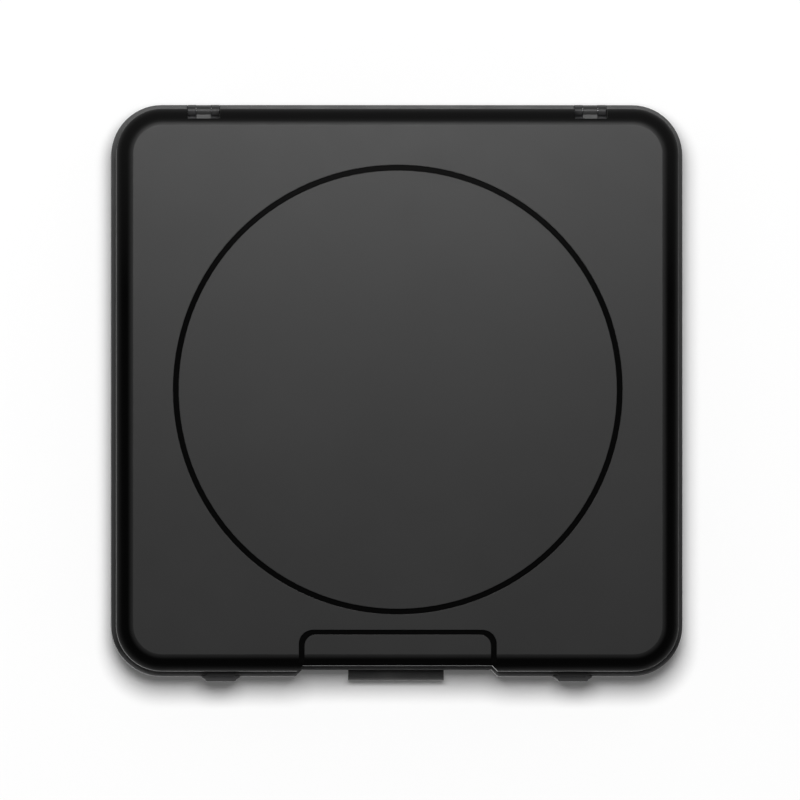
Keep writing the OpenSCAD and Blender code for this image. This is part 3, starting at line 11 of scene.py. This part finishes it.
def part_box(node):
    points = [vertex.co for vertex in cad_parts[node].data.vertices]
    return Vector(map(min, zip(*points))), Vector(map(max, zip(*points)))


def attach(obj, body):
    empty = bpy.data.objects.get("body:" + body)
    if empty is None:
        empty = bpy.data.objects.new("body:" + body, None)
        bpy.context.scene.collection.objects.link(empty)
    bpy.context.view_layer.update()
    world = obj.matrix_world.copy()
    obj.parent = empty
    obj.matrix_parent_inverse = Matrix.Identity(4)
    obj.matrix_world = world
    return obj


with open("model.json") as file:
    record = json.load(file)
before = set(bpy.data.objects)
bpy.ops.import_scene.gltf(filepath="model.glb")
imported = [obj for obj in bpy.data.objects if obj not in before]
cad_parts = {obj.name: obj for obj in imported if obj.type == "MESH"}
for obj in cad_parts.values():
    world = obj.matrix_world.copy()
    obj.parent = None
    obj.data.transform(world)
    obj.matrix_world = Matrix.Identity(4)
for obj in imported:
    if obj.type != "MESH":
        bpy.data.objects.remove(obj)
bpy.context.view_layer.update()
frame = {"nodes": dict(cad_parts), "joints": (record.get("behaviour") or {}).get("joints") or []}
nodes = frame["nodes"]

MM = 0.001
UPRIGHT = math.pi / 2
joint_places = {joint["name"]: Vector(joint["pos_m"]) for joint in frame["joints"] if "pos_m" in joint}


# Building blocks of the finishes

class Finish:
    """A procedural material round one Principled shader, drawn in the part's own coordinates."""

    def __init__(self, name, **sockets):
        self.material = bpy.data.materials.new(name)
        self.material.use_nodes = True
        self.tree = self.material.node_tree
        self.shader = self.tree.nodes["Principled BSDF"]
        coordinates = self.add("ShaderNodeTexCoord")
        self.place = coordinates.outputs["Object"]
        self.own_normal = coordinates.outputs["Normal"]
        for socket, value in sockets.items():
            self.give(socket.replace("_", " "), value)

    def put(self, target, value):
        """Links a socket, or sets a plain value."""
        if isinstance(value, bpy.types.NodeSocket):
            self.tree.links.new(value, target)
        elif isinstance(value, tuple) and len(value) == 3 and target.type == "RGBA":
            target.default_value = (*value, 1.0)
        else:
            target.default_value = value

    def give(self, socket, value):
        self.put(self.shader.inputs[socket], value)

    def add(self, kind, inputs=(), **settings):
        node = self.tree.nodes.new(kind)
        for key, value in settings.items():
            setattr(node, key, value)
        for key, value in dict(inputs).items():
            self.put(node.inputs[key], value)
        return node

    def noise(self, size, detail=2.0, stretch=(1, 1, 1)):
        """Noise with blobs about size metres across, stretched along an axis where a factor is under 1."""
        mapping = self.add("ShaderNodeMapping", {"Vector": self.place, "Scale": stretch})
        texture = self.add("ShaderNodeTexNoise", {
            "Vector": mapping.outputs["Vector"], "Scale": 1 / size, "Detail": detail, "Roughness": 0.55,
        })
        return texture.outputs["Fac"]

    def level(self, value, low, high, to_low=0.0, to_high=1.0):
        """Maps a value from one range to another, held at the ends."""
        node = self.add("ShaderNodeMapRange", {
            "Value": value, "From Min": low, "From Max": high, "To Min": to_low, "To Max": to_high,
        })
        return node.outputs["Result"]

    def blend(self, factor, first, second):
        """Colour between two colours, which are the Mix node's sockets 6 and 7, with the result at 2."""
        return self.add("ShaderNodeMix", {"Factor": factor, 6: first, 7: second}, data_type="RGBA").outputs[2]

    def maths(self, operation, first, second):
        return self.add("ShaderNodeMath", {0: first, 1: second}, operation=operation).outputs[0]

    def times(self, first, second):
        return self.maths("MULTIPLY", first, second)

    def larger(self, first, second):
        return self.maths("MAXIMUM", first, second)

    def part(self, vector, axis):
        return self.add("ShaderNodeSeparateXYZ", {"Vector": vector}).outputs[axis]

    def length(self, vector):
        return self.add("ShaderNodeVectorMath", {0: vector}, operation="LENGTH").outputs["Value"]

    def level_length(self, vector):
        """Length of a vector as seen from above."""
        flat = self.add("ShaderNodeVectorMath", {0: vector, 1: (1, 1, 0)}, operation="MULTIPLY")
        return self.length(flat.outputs["Vector"])

    def soft_edges(self, radius):
        return self.add("ShaderNodeBevel", {"Radius": radius}, samples=6).outputs["Normal"]

    def relief(self, height, depth, strength=1.0, normal=None):
        node = self.add("ShaderNodeBump", {"Height": height, "Distance": depth, "Strength": strength})
        if normal is not None:
            self.put(node.inputs["Normal"], normal)
        return node.outputs["Normal"]

    def worn(self, normal):
        """Mask that is 1 along rounded edges."""
        true_normal = self.add("ShaderNodeNewGeometry").outputs["Normal"]
        node = self.add("ShaderNodeVectorMath", {0: normal, 1: true_normal}, operation="DOT_PRODUCT")
        return self.level(node.outputs["Value"], 0.995, 0.9)


def grey(value, tint=0.0):
    return (value, value, value * (1 + tint))


def darker(colour, share):
    return tuple(share * c for c in colour)


def moulded(name, tone, roughness, grain=0.45 * MM, depth=0.02 * MM, edge=0.35 * MM, tint=0.04, wear=1.5):
    """Moulded plastic: fine spark-eroded grain, faint flow shading, and edges rubbed a little paler."""
    finish = Finish(name)
    rounded = finish.soft_edges(edge)
    shade = finish.noise(60 * MM, 3.0)
    body = finish.blend(finish.level(shade, 0.3, 0.7), grey(tone * 0.86, tint), grey(tone * 1.14, tint))
    rubbed = finish.times(finish.worn(rounded), finish.level(finish.noise(9 * MM), 0.35, 0.75))
    finish.colour = finish.blend(rubbed, body, grey(tone * wear + 0.004, tint))
    finish.give("Base Color", finish.colour)
    patches = finish.noise(14 * MM, 4.0)
    finish.give("Roughness", finish.level(patches, 0.25, 0.75, roughness - 0.04, roughness + 0.05))
    finish.give("Normal", finish.relief(finish.noise(grain, 1.0), depth, 0.35, rounded))
    return finish


def lid_finish(low, high):
    """The lid: a satin panel on the flat of the top, the rolled edge and grooves matt and painted near black
    as shade, and satin sides.
    """
    tilt_front, tilt_rear = 0.36, 0.5
    full_depth, panel_depth, rear_depth = 0.3 * MM, 0.7 * MM, 1.6 * MM
    rear_strip, strip_fade = 22 * MM, 4 * MM
    ear_height = 7 * MM
    matt_specular, satin_specular = 0.02, 0.5
    matt_roughness, satin_roughness = 0.45, 0.36

    finish = Finish("lid_plastic")
    rounded = finish.soft_edges(0.4 * MM)
    upward = finish.part(finish.own_normal, "Z")
    height = finish.part(finish.place, "Z")
    along = finish.part(finish.place, "Y")

    # The panel ends where the top rolls over, a little later at the rear as painted light from behind, and
    # leaves the grooves out to the painted shade
    border = finish.level(along, low.y, high.y, tilt_front, tilt_rear)
    flat = finish.level(finish.level_length(finish.own_normal), 0, border, 1.0, 0.0)
    rear = finish.level(along, high.y - rear_strip, high.y - rear_strip + strip_fade)
    foot = finish.level(rear, 0, 1, high.z - panel_depth, high.z - rear_depth)
    panel = finish.times(finish.times(flat, flat), finish.level(height, foot, high.z - full_depth))

    # The sides take over where the roll ends, and the hinge ears have their tone too
    ears = finish.level(height, low.z + ear_height, low.z + ear_height + 0.5 * MM, 1.0, 0.0)
    side = finish.larger(finish.level(upward, 0.12, 0.02), ears)
    roll = finish.larger(finish.level(upward, 0.7, 0.1), ears)

    shade = finish.level(finish.noise(70 * MM, 3.0), 0.3, 0.7)
    panel_tone = finish.blend(shade, grey(0.0115), grey(0.0135))
    side_tone = finish.blend(ears, grey(0.011), grey(0.03))
    # Painted shade: the rolled edge and grooves are coloured near black, with a painted sheen that makes them
    # a touch paler towards the rear
    band_painted_shade = finish.blend(finish.level(along, high.y / 3, high.y), grey(0.0012), grey(0.006))
    finish.give("Base Color", finish.blend(roll, finish.blend(panel, band_painted_shade, panel_tone), side_tone))

    satin = finish.larger(panel, side)
    finish.give("Specular IOR Level", finish.level(satin, 0, 1, matt_specular, satin_specular))
    grain = finish.level(finish.noise(14 * MM, 4.0), 0.25, 0.75, -0.012, 0.012)
    polish = finish.level(satin, 0, 1, matt_roughness, satin_roughness)
    finish.give("Roughness", finish.maths("ADD", grain, polish))
    finish.give("Normal", finish.relief(finish.noise(0.4 * MM, 1.0), 0.012 * MM, 0.25, rounded))
    return finish


def base_finish(low, high):
    """The base: moulded plastic whose rim is rubbed paler by the lid, and paler still at the front as painted
    light, where the lid shades it from the overhead lamp.
    """
    finish = moulded("base_plastic", 0.0125, 0.36, tint=0.02)
    upward = finish.level(finish.part(finish.own_normal, "Z"), 0.9, 0.97)
    height = finish.part(finish.place, "Z")
    rim = finish.times(upward, finish.level(height, high.z - 0.6 * MM, high.z - 0.3 * MM))
    # Painted light: the rim's tone rises towards the front, standing in for lamp light that the lid's shade
    # keeps off it
    front = finish.level(finish.part(finish.place, "Y"), low.y + 15 * MM, low.y + 5 * MM)
    rubbed = finish.blend(front, grey(0.035, 0.01), grey(0.16, 0.01))
    finish.give("Base Color", finish.blend(rim, finish.colour, rubbed))
    return finish


def rubbery(name, tone, grain=0.8 * MM):
    """Matt rubber with a dusty bloom."""
    finish = Finish(name, Sheen_Weight=0.15, Sheen_Roughness=0.6, Specular_IOR_Level=0.35)
    dust = finish.level(finish.noise(22 * MM, 5.0), 0.42, 0.78)
    finish.give("Base Color", finish.blend(dust, grey(tone), grey(tone * 1.5 + 0.003)))
    finish.give("Roughness", finish.level(dust, 0, 1, 0.62, 0.78))
    finish.give("Normal", finish.relief(finish.noise(grain), 0.04 * MM, 0.4, finish.soft_edges(0.4 * MM)))
    return finish


def metal(name, colour, roughness, brush=(1, 1, 1), streak=0.6 * MM):
    """Bare metal with fine tool marks drawn out along one axis."""
    finish = Finish(name, Metallic=1.0)
    marks = finish.noise(streak, 3.0, brush)
    dull = finish.level(finish.noise(18 * MM, 4.0), 0.3, 0.75)
    finish.give("Base Color", finish.blend(finish.times(dull, marks), colour, darker(colour, 0.86)))
    finish.give("Roughness", finish.level(marks, 0.2, 0.8, roughness - 0.06, roughness + 0.08))
    finish.give("Normal", finish.relief(marks, 0.006 * MM, 0.25, finish.soft_edges(0.25 * MM)))
    return finish


def turned(name, colour, roughness, centre):
    """Metal turned on a lathe about an upright axis: rings of tool marks round the centre."""
    finish = Finish(name, Metallic=1.0)
    offset = finish.add("ShaderNodeVectorMath", {0: finish.place, 1: tuple(centre)}, operation="SUBTRACT")
    radius = finish.level_length(offset.outputs["Vector"])
    along = finish.add("ShaderNodeCombineXYZ", {"X": radius, "Z": finish.part(finish.place, "Z")})
    rings = finish.add("ShaderNodeTexNoise", {"Vector": along.outputs[0], "Scale": 2600.0, "Detail": 2.0})
    marks = rings.outputs["Fac"]
    finish.give("Base Color", finish.blend(finish.level(marks, 0.35, 0.7), colour, darker(colour, 0.9)))
    finish.give("Roughness", finish.level(marks, 0.25, 0.75, roughness - 0.05, roughness + 0.07))
    finish.give("Normal", finish.relief(marks, 0.01 * MM, 0.3, finish.soft_edges(0.3 * MM)))
    return finish


def clear_red(name):
    """Red translucent plastic, as a stylus holder or a lamp's lens has."""
    finish = Finish(name, Subsurface_Weight=0.4, Subsurface_Scale=0.002, Coat_Weight=0.5, Coat_Roughness=0.08)
    depth = finish.level(finish.noise(3 * MM), 0.3, 0.7)
    finish.give("Base Color", finish.blend(depth, (0.42, 0.012, 0.012), (0.55, 0.03, 0.02)))
    finish.give("Subsurface Radius", (1.0, 0.12, 0.08))
    finish.give("Roughness", finish.level(depth, 0, 1, 0.16, 0.26))
    finish.give("Normal", finish.soft_edges(0.25 * MM))
    return finish


def circuit_board():
    """Green lacquer over copper: paler tracks round darker fields."""
    finish = Finish("circuit_board", Coat_Weight=0.4, Coat_Roughness=0.2)
    cells = finish.add(
        "ShaderNodeTexVoronoi", {"Vector": finish.place, "Scale": 160.0}, feature="DISTANCE_TO_EDGE",
    )
    track = finish.level(cells.outputs["Distance"], 0.05, 0.09, 1.0, 0.0)
    finish.give("Base Color", finish.blend(track, (0.01, 0.075, 0.025), (0.03, 0.16, 0.05)))
    finish.give("Roughness", finish.level(track, 0, 1, 0.42, 0.32))
    finish.give("Normal", finish.relief(track, 0.05 * MM, 0.6, finish.soft_edges(0.2 * MM)))
    return finish


def pressed_paper():
    """Dark pressed paper with visible fibres."""
    finish = Finish("cone_paper", Roughness=0.85)
    fibres = finish.noise(1.2 * MM, 6.0, (1, 0.25, 1))
    cover = finish.level(fibres, 0.3, 0.75)
    finish.give("Base Color", finish.blend(cover, (0.012, 0.011, 0.01), (0.035, 0.032, 0.03)))
    finish.give("Normal", finish.relief(fibres, 0.15 * MM, 0.7))
    return finish


def socket_block(split):
    """Black socket block whose round cores are white at the left and red at the right."""
    finish = Finish("socket_plastic", Roughness=0.36)
    core_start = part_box("line_out_block")[1].y - 7 * MM
    core = finish.level(finish.part(finish.place, "Y"), core_start, core_start + 0.1 * MM)
    right = finish.level(finish.part(finish.place, "X"), split - 0.1 * MM, split + 0.1 * MM)
    speck = finish.level(finish.noise(2 * MM), 0.3, 0.7, 0.9, 1.0)
    ring = finish.blend(right, (0.72, 0.71, 0.68), (0.5, 0.02, 0.02))
    coloured = finish.blend(core, grey(0.012), ring)
    finish.give("Base Color", finish.blend(speck, grey(0.012), coloured))
    finish.give("Normal", finish.relief(finish.noise(0.6 * MM), 0.02 * MM, 0.3, finish.soft_edges(0.2 * MM)))
    return finish


def printed(name, colour):
    """Pad-printed ink, a little uneven."""
    finish = Finish(name, Specular_IOR_Level=0.3)
    cover = finish.level(finish.noise(0.5 * MM, 4.0), 0.25, 0.6)
    finish.give("Base Color", finish.blend(cover, darker(colour, 0.75), colour))
    finish.give("Roughness", finish.level(cover, 0, 1, 0.6, 0.45))
    return finish


# Finishes of the CAD nodes

spindle = joint_places["platter_spin"]
lid_low, lid_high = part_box("lid_shell")
sleeves_low, sleeves_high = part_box("line_out_sleeves")

case_plastic = moulded("case_plastic", 0.0125, 0.36, tint=0.02)
trim_plastic = moulded("trim_plastic", 0.027, 0.4, tint=0.02)
latch_plastic = moulded("latch_plastic", 0.045, 0.4, tint=0.02)
deck_plastic = moulded("deck_plastic", 0.028, 0.5, grain=0.6 * MM, depth=0.035 * MM)
arm_plastic = moulded("arm_plastic", 0.02, 0.42)
knob_plastic = moulded("knob_plastic", 0.009, 0.34, edge=0.3 * MM, wear=2.2)
pale_plastic = moulded("pale_plastic", 0.22, 0.4, wear=1.1)
grip_rubber = rubbery("grip_rubber", 0.065)
foot_rubber = rubbery("foot_rubber", 0.024)
mat_rubber = rubbery("mat_rubber", 0.01, 0.5 * MM)
belt_rubber = rubbery("belt_rubber", 0.012)
plated_steel = metal("plated_steel", (0.6, 0.6, 0.62), 0.3)
weight_steel = metal("weight_steel", (0.1, 0.1, 0.105), 0.34, (1, 0.05, 1))
arm_alloy = metal("arm_alloy", (0.52, 0.52, 0.54), 0.38, (1, 0.03, 1))
dish_alloy = turned("dish_alloy", (0.66, 0.66, 0.68), 0.34, spindle)
bright_steel = turned("bright_steel", (0.7, 0.7, 0.71), 0.18, spindle)
turned_brass = metal("turned_brass", (0.72, 0.53, 0.24), 0.28, (1, 1, 0.05))
sleeve_metal = metal("sleeve_metal", (0.72, 0.7, 0.66), 0.24)

finishes = {
    lid_finish(lid_low, lid_high): ["lid_shell"],
    base_finish(*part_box("base_shell")): ["base_shell"],
    case_plastic: ["carry_handle", "battery_tray", "battery_door"],
    trim_plastic: ["hinge_brackets", "thrust_cup"],
    latch_plastic: ["latch_left", "latch_right"],
    deck_plastic: ["deck_tray"],
    arm_plastic: ["arm_base", "arm_rest", "headshell", "fader_plate"],
    pale_plastic: ["power_button", "speed_slider", "autostop_slider", "adapter_45"],
    knob_plastic: [
        "volume_knob", "tone_knob", "pitch_knob", "fader_cap", "cartridge", "arm_clip", "cue_lift",
        "board_parts", "power_socket", "phone_socket",
    ],
    grip_rubber: ["handle_grip"],
    foot_rubber: ["rubber_feet", "motor_grommets"],
    mat_rubber: ["platter_mat"],
    belt_rubber: ["drive_belt"],
    plated_steel: [
        "case_screws", "inner_screws", "hinge_pins", "latch_pins", "drive_motor", "motor_shaft", "arm_pin",
        "speaker_frame", "control_pots", "switch_bodies", "usb_socket", "battery_contacts",
    ],
    weight_steel: ["counterweight"],
    arm_alloy: ["arm_yoke", "arm_tube", "cue_lever"],
    dish_alloy: ["platter"],
    bright_steel: ["platter_spindle"],
    turned_brass: ["spindle_bush", "motor_pulley"],
    sleeve_metal: ["line_out_sleeves"],
    socket_block((sleeves_low.x + sleeves_high.x) / 2): ["line_out_block"],
    circuit_board(): ["main_board"],
    pressed_paper(): ["speaker_cone"],
    clear_red("clear_red"): ["stylus", "power_lamp"],
}
for finish, names in finishes.items():
    for name in names:
        mesh = nodes[name].data
        mesh.materials.clear()
        mesh.materials.append(finish.material)


# Small pieces

white_ink = printed("white_ink", (0.78, 0.78, 0.76))
INK = 0.04 * MM
DECK_BELOW_ARM_PIVOT = 14 * MM


def piece(name, bm, finish, body):
    """Makes an object of a bmesh, gives it its finish and lets it ride on a body."""
    mesh = bpy.data.meshes.new(name)
    bm.to_mesh(mesh)
    bm.free()
    mesh.materials.append(finish.material)
    obj = bpy.data.objects.new(name, mesh)
    bpy.context.scene.collection.objects.link(obj)
    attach(obj, body)
    return obj


def node_middle(name):
    low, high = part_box(name)
    return (low + high) / 2


def around(centre, radius, angle, z):
    """Point on a level circle."""
    return Vector((centre.x + radius * math.cos(angle), centre.y + radius * math.sin(angle), z))


def bar(bm, middle, length, width, angle=0.0):
    """Flat printed bar with cut corners, its length turned by angle from X."""
    cut = 0.3 * min(length, width)
    x, y = length / 2, width / 2
    half = [(x - cut, -y), (x, cut - y), (x, y - cut), (x - cut, y)]
    outline = half + [(-px, -py) for px, py in half]
    turn = Matrix.Rotation(angle, 3, "Z")
    bm.faces.new([bm.verts.new(Vector(middle) + turn @ Vector((px, py, 0))) for px, py in outline])


def write(bm, words, size, middle):
    """Adds upright words to a mesh, centred on a point."""
    curve = bpy.data.curves.new("words", "FONT")
    curve.body = words
    curve.size = size
    curve.align_x = "CENTER"
    curve.align_y = "CENTER"
    obj = bpy.data.objects.new("words", curve)
    bpy.context.scene.collection.objects.link(obj)
    bpy.context.view_layer.update()
    flat = obj.evaluated_get(bpy.context.evaluated_depsgraph_get()).to_mesh()
    flat.transform(Matrix.Translation(Vector(middle)))
    bm.from_mesh(flat)
    bpy.data.objects.remove(obj)
    bpy.data.curves.remove(curve)


def dial_print(bm, joint, words, across, below, deck):
    """Ticks round a knob, longest at both ends and in the middle, and a word at each end."""
    centre = joint_places[joint]
    half_sweep, steps = 140, 10
    for step in range(steps + 1):
        angle = math.radians(90 + half_sweep - 2 * half_sweep * step / steps)
        long = step % 5 == 0
        reach = 12.1 * MM if long else 11.6 * MM
        bar(bm, around(centre, reach, angle, deck), 2.6 * MM if long else 1.5 * MM, 0.45 * MM, angle)
    for side, word in zip((-1, 1), words):
        write(bm, word, 3 * MM, (centre.x + side * across, centre.y - below, deck))


def speed_print(bm, deck):
    """The three speeds behind their slider, each with a tick."""
    middle = node_middle("speed_slider")
    for offset, words in ((-6 * MM, "33"), (0, "45"), (6 * MM, "78")):
        x = middle.x + offset
        write(bm, words, 3.2 * MM, (x, middle.y + 8.8 * MM, deck))
        bar(bm, (x, middle.y + 5.6 * MM, deck), 1.6 * MM, 0.4 * MM, UPRIGHT)


def power_print(bm, deck):
    """Open ring round the power button, with a stroke in its gap."""
    middle = node_middle("power_button")
    radius, parts = 8 * MM, 24
    gap = range(4, 9)
    for turn in range(parts):
        if turn not in gap:
            angle = 2 * math.pi * turn / parts
            bar(bm, around(middle, radius, angle, deck), 2.2 * MM, 0.35 * MM, angle + UPRIGHT)
    bar(bm, (middle.x, middle.y + radius, deck), 3 * MM, 0.5 * MM, UPRIGHT)


def autostop_print(bm, deck):
    middle = node_middle("autostop_slider")
    for offset, words in ((-4.4 * MM, "OFF"), (4.4 * MM, "ON")):
        write(bm, words, 2.8 * MM, (middle.x + offset, middle.y + 8 * MM, deck))


def deck_print():
    """All the print on the deck."""
    bm = bmesh.new()
    deck = joint_places["arm_swing"].z - DECK_BELOW_ARM_PIVOT + INK
    dial_print(bm, "volume_turn", ("0", "10"), 8.8 * MM, 12.6 * MM, deck)
    for joint in ("tone_turn", "pitch_turn"):
        dial_print(bm, joint, ("-", "+"), 10.2 * MM, 10.8 * MM, deck)
    speed_print(bm, deck)
    power_print(bm, deck)
    autostop_print(bm, deck)
    return piece("deck_print", bm, white_ink, "base")


def fader_print():
    """Ticks along both sides of the fader's travel, longest in the middle and at the ends."""
    middle = node_middle("fader_plate")
    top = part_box("fader_plate")[1].z + INK
    bm = bmesh.new()
    for step in range(-5, 6):
        length = 2.6 * MM if step % 5 == 0 else 1.6 * MM
        for side in (-1, 1):
            spot = (middle.x + 2.4 * MM * step, middle.y + side * 9.8 * MM, top)
            bar(bm, spot, length, 0.4 * MM, UPRIGHT)
    return piece("fader_print", bm, white_ink, "base")


def fader_screws():
    """Two flat screw heads with cross slots, in the holes of the fader's plate."""
    low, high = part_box("fader_plate")
    middle = (low + high) / 2
    spacing = 23 * MM
    radius, points = 1.5 * MM, 24
    arm, slot, slot_depth = 1.0 * MM, 0.22 * MM, 0.5 * MM
    top = high.z - 0.15 * MM
    head_depth = high.z - low.z - 0.25 * MM
    quarter = [(arm, -slot), (arm, slot), (slot, slot)]
    bm = bmesh.new()
    for side in (-1, 1):
        centre = Vector((middle.x + side * spacing, middle.y, top))
        rim = [bm.verts.new(around(centre, radius, 2 * math.pi * i / points, top)) for i in range(points)]
        cross = []
        for turn in range(4):
            spin = Matrix.Rotation(turn * UPRIGHT, 3, "Z")
            cross += [bm.verts.new(centre + spin @ Vector((x, y, 0))) for x, y in quarter]
        edges = []
        for loop in (rim, cross):
            edges += [bm.edges.new((loop[i - 1], loop[i])) for i in range(len(loop))]
        bmesh.ops.triangle_fill(bm, edges=edges, use_beauty=True)
        for loop, depth in ((rim, head_depth), (cross, slot_depth)):
            lower = [bm.verts.new(v.co - Vector((0, 0, depth))) for v in loop]
            for i in range(len(loop)):
                bm.faces.new((loop[i - 1], loop[i], lower[i], lower[i - 1]))
            bm.faces.new(lower)
    bmesh.ops.recalc_face_normals(bm, faces=bm.faces)
    return piece("fader_screws", bm, plated_steel, "base")


def pointer(knob, body):
    """White line let into a knob's pointer groove."""
    centre = node_middle(knob)
    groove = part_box(knob)[1].z - 0.55 * MM
    bm = bmesh.new()
    bar(bm, (centre.x, centre.y + 4 * MM, groove), 6.4 * MM, 0.8 * MM, UPRIGHT)
    return piece(knob + "_pointer", bm, white_ink, body)


def strobe_dots():
    """Two rows of pale dots round the platter's rim, for reading its speed under a lamp."""
    low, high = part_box("platter")
    radius = (high.x - low.x) / 2 + INK
    first_row, row_pitch = 2.6 * MM, 3.2 * MM
    half_turn, half_height = 0.25, 0.8 * MM
    corners = [(-half_turn, -half_height), (half_turn, -half_height)]
    corners += [(half_turn, half_height), (-half_turn, half_height)]
    bm = bmesh.new()
    for row, count in enumerate((120, 133)):
        z = low.z + first_row + row_pitch * row
        for i in range(count):
            bm.faces.new([
                bm.verts.new(around(spindle, radius, 2 * math.pi * (i + turn) / count, z + rise))
                for turn, rise in corners
            ])
    return piece("strobe_dots", bm, white_ink, "platter_body")


deck_print()
fader_print()
fader_screws()
for knob_name, knob_body in (("volume_knob", "volume"), ("tone_knob", "tone"), ("pitch_knob", "pitch")):
    pointer(knob_name, knob_body)
strobe_dots()


# Floor, lamps and camera

def floor():
    """Plain white floor: lit by the lamps, with light of its own where it is seen, most far away."""
    bm = bmesh.new()
    bmesh.ops.create_grid(bm, x_segments=1, y_segments=1, size=30)
    mesh = bpy.data.meshes.new("floor")
    bm.to_mesh(mesh)
    bm.free()
    finish = Finish("floor_paper", Base_Color=(0.95, 0.95, 0.95), Roughness=0.9, Specular_IOR_Level=0.0)
    path = finish.add("ShaderNodeLightPath").outputs
    mirrored = finish.larger(path["Is Glossy Ray"], path["Is Transmission Ray"])
    seen = finish.larger(path["Is Camera Ray"], mirrored)
    glow = finish.level(finish.length(finish.place), 0.3, 4.0, 0.065, 0.75)
    finish.give("Emission Color", (1, 1, 1))
    finish.give("Emission Strength", finish.times(seen, glow))
    mesh.materials.append(finish.material)
    obj = bpy.data.objects.new("floor", mesh)
    bpy.context.scene.collection.objects.link(obj)
    return obj


def lamp(name, place, aim, **settings):
    data = bpy.data.lights.new(name, "AREA")
    for key, value in settings.items():
        setattr(data, key, value)
    obj = bpy.data.objects.new(name, data)
    obj.location = place
    obj.rotation_euler = (Vector(aim) - Vector(place)).to_track_quat("-Z", "Y").to_euler()
    obj.visible_camera = False
    bpy.context.scene.collection.objects.link(obj)
    return obj


def lights(ground):
    """An overhead lamp that casts the soft shadow, a softbox behind for the sheen, and a dim room."""
    overhead = lamp("overhead", (-0.06, 0.3, 4), (-0.06, 0.3, 0), energy=145, shape="DISK", size=0.74)
    overhead.visible_glossy = False
    softbox = lamp(
        "softbox", (0, 0.34, 1.25), (0, 0.1, 0.1), energy=3.6, shape="RECTANGLE", size=0.5, size_y=0.25,
    )
    kept_off = bpy.data.collections.new("kept_off_by_softbox")
    kept_off.objects.link(ground)
    softbox.light_linking.receiver_collection = kept_off
    kept_off.collection_objects[0].light_linking.link_state = "EXCLUDE"
    world = bpy.data.worlds.new("room")
    world.use_nodes = True
    background = world.node_tree.nodes["Background"]
    background.inputs["Color"].default_value = (1, 1, 1, 1)
    background.inputs["Strength"].default_value = 0.1
    bpy.context.scene.world = world


def camera():
    """Long lens, straight down from high above, a touch to the left and front."""
    pixels = 800
    pixel = 0.534 * MM
    distance = 17.0
    lean = Vector((-0.0138, -0.0138, 1))
    aim = Vector((0.0017, -0.005, 0.064))
    data = bpy.data.cameras.new("camera")
    data.sensor_width = 36.0
    data.lens = data.sensor_width * distance / (pixels * pixel)
    data.clip_end = 200.0
    obj = bpy.data.objects.new("camera", data)
    back = lean.normalized()
    obj.location = aim + back * distance
    right = Vector((0, 1, 0)).cross(back).normalized()
    obj.rotation_euler = Matrix((right, back.cross(right), back)).transposed().to_euler()
    bpy.context.scene.collection.objects.link(obj)
    bpy.context.scene.camera = obj


lights(floor())
camera()
bpy.context.scene.view_settings.view_transform = "Standard"
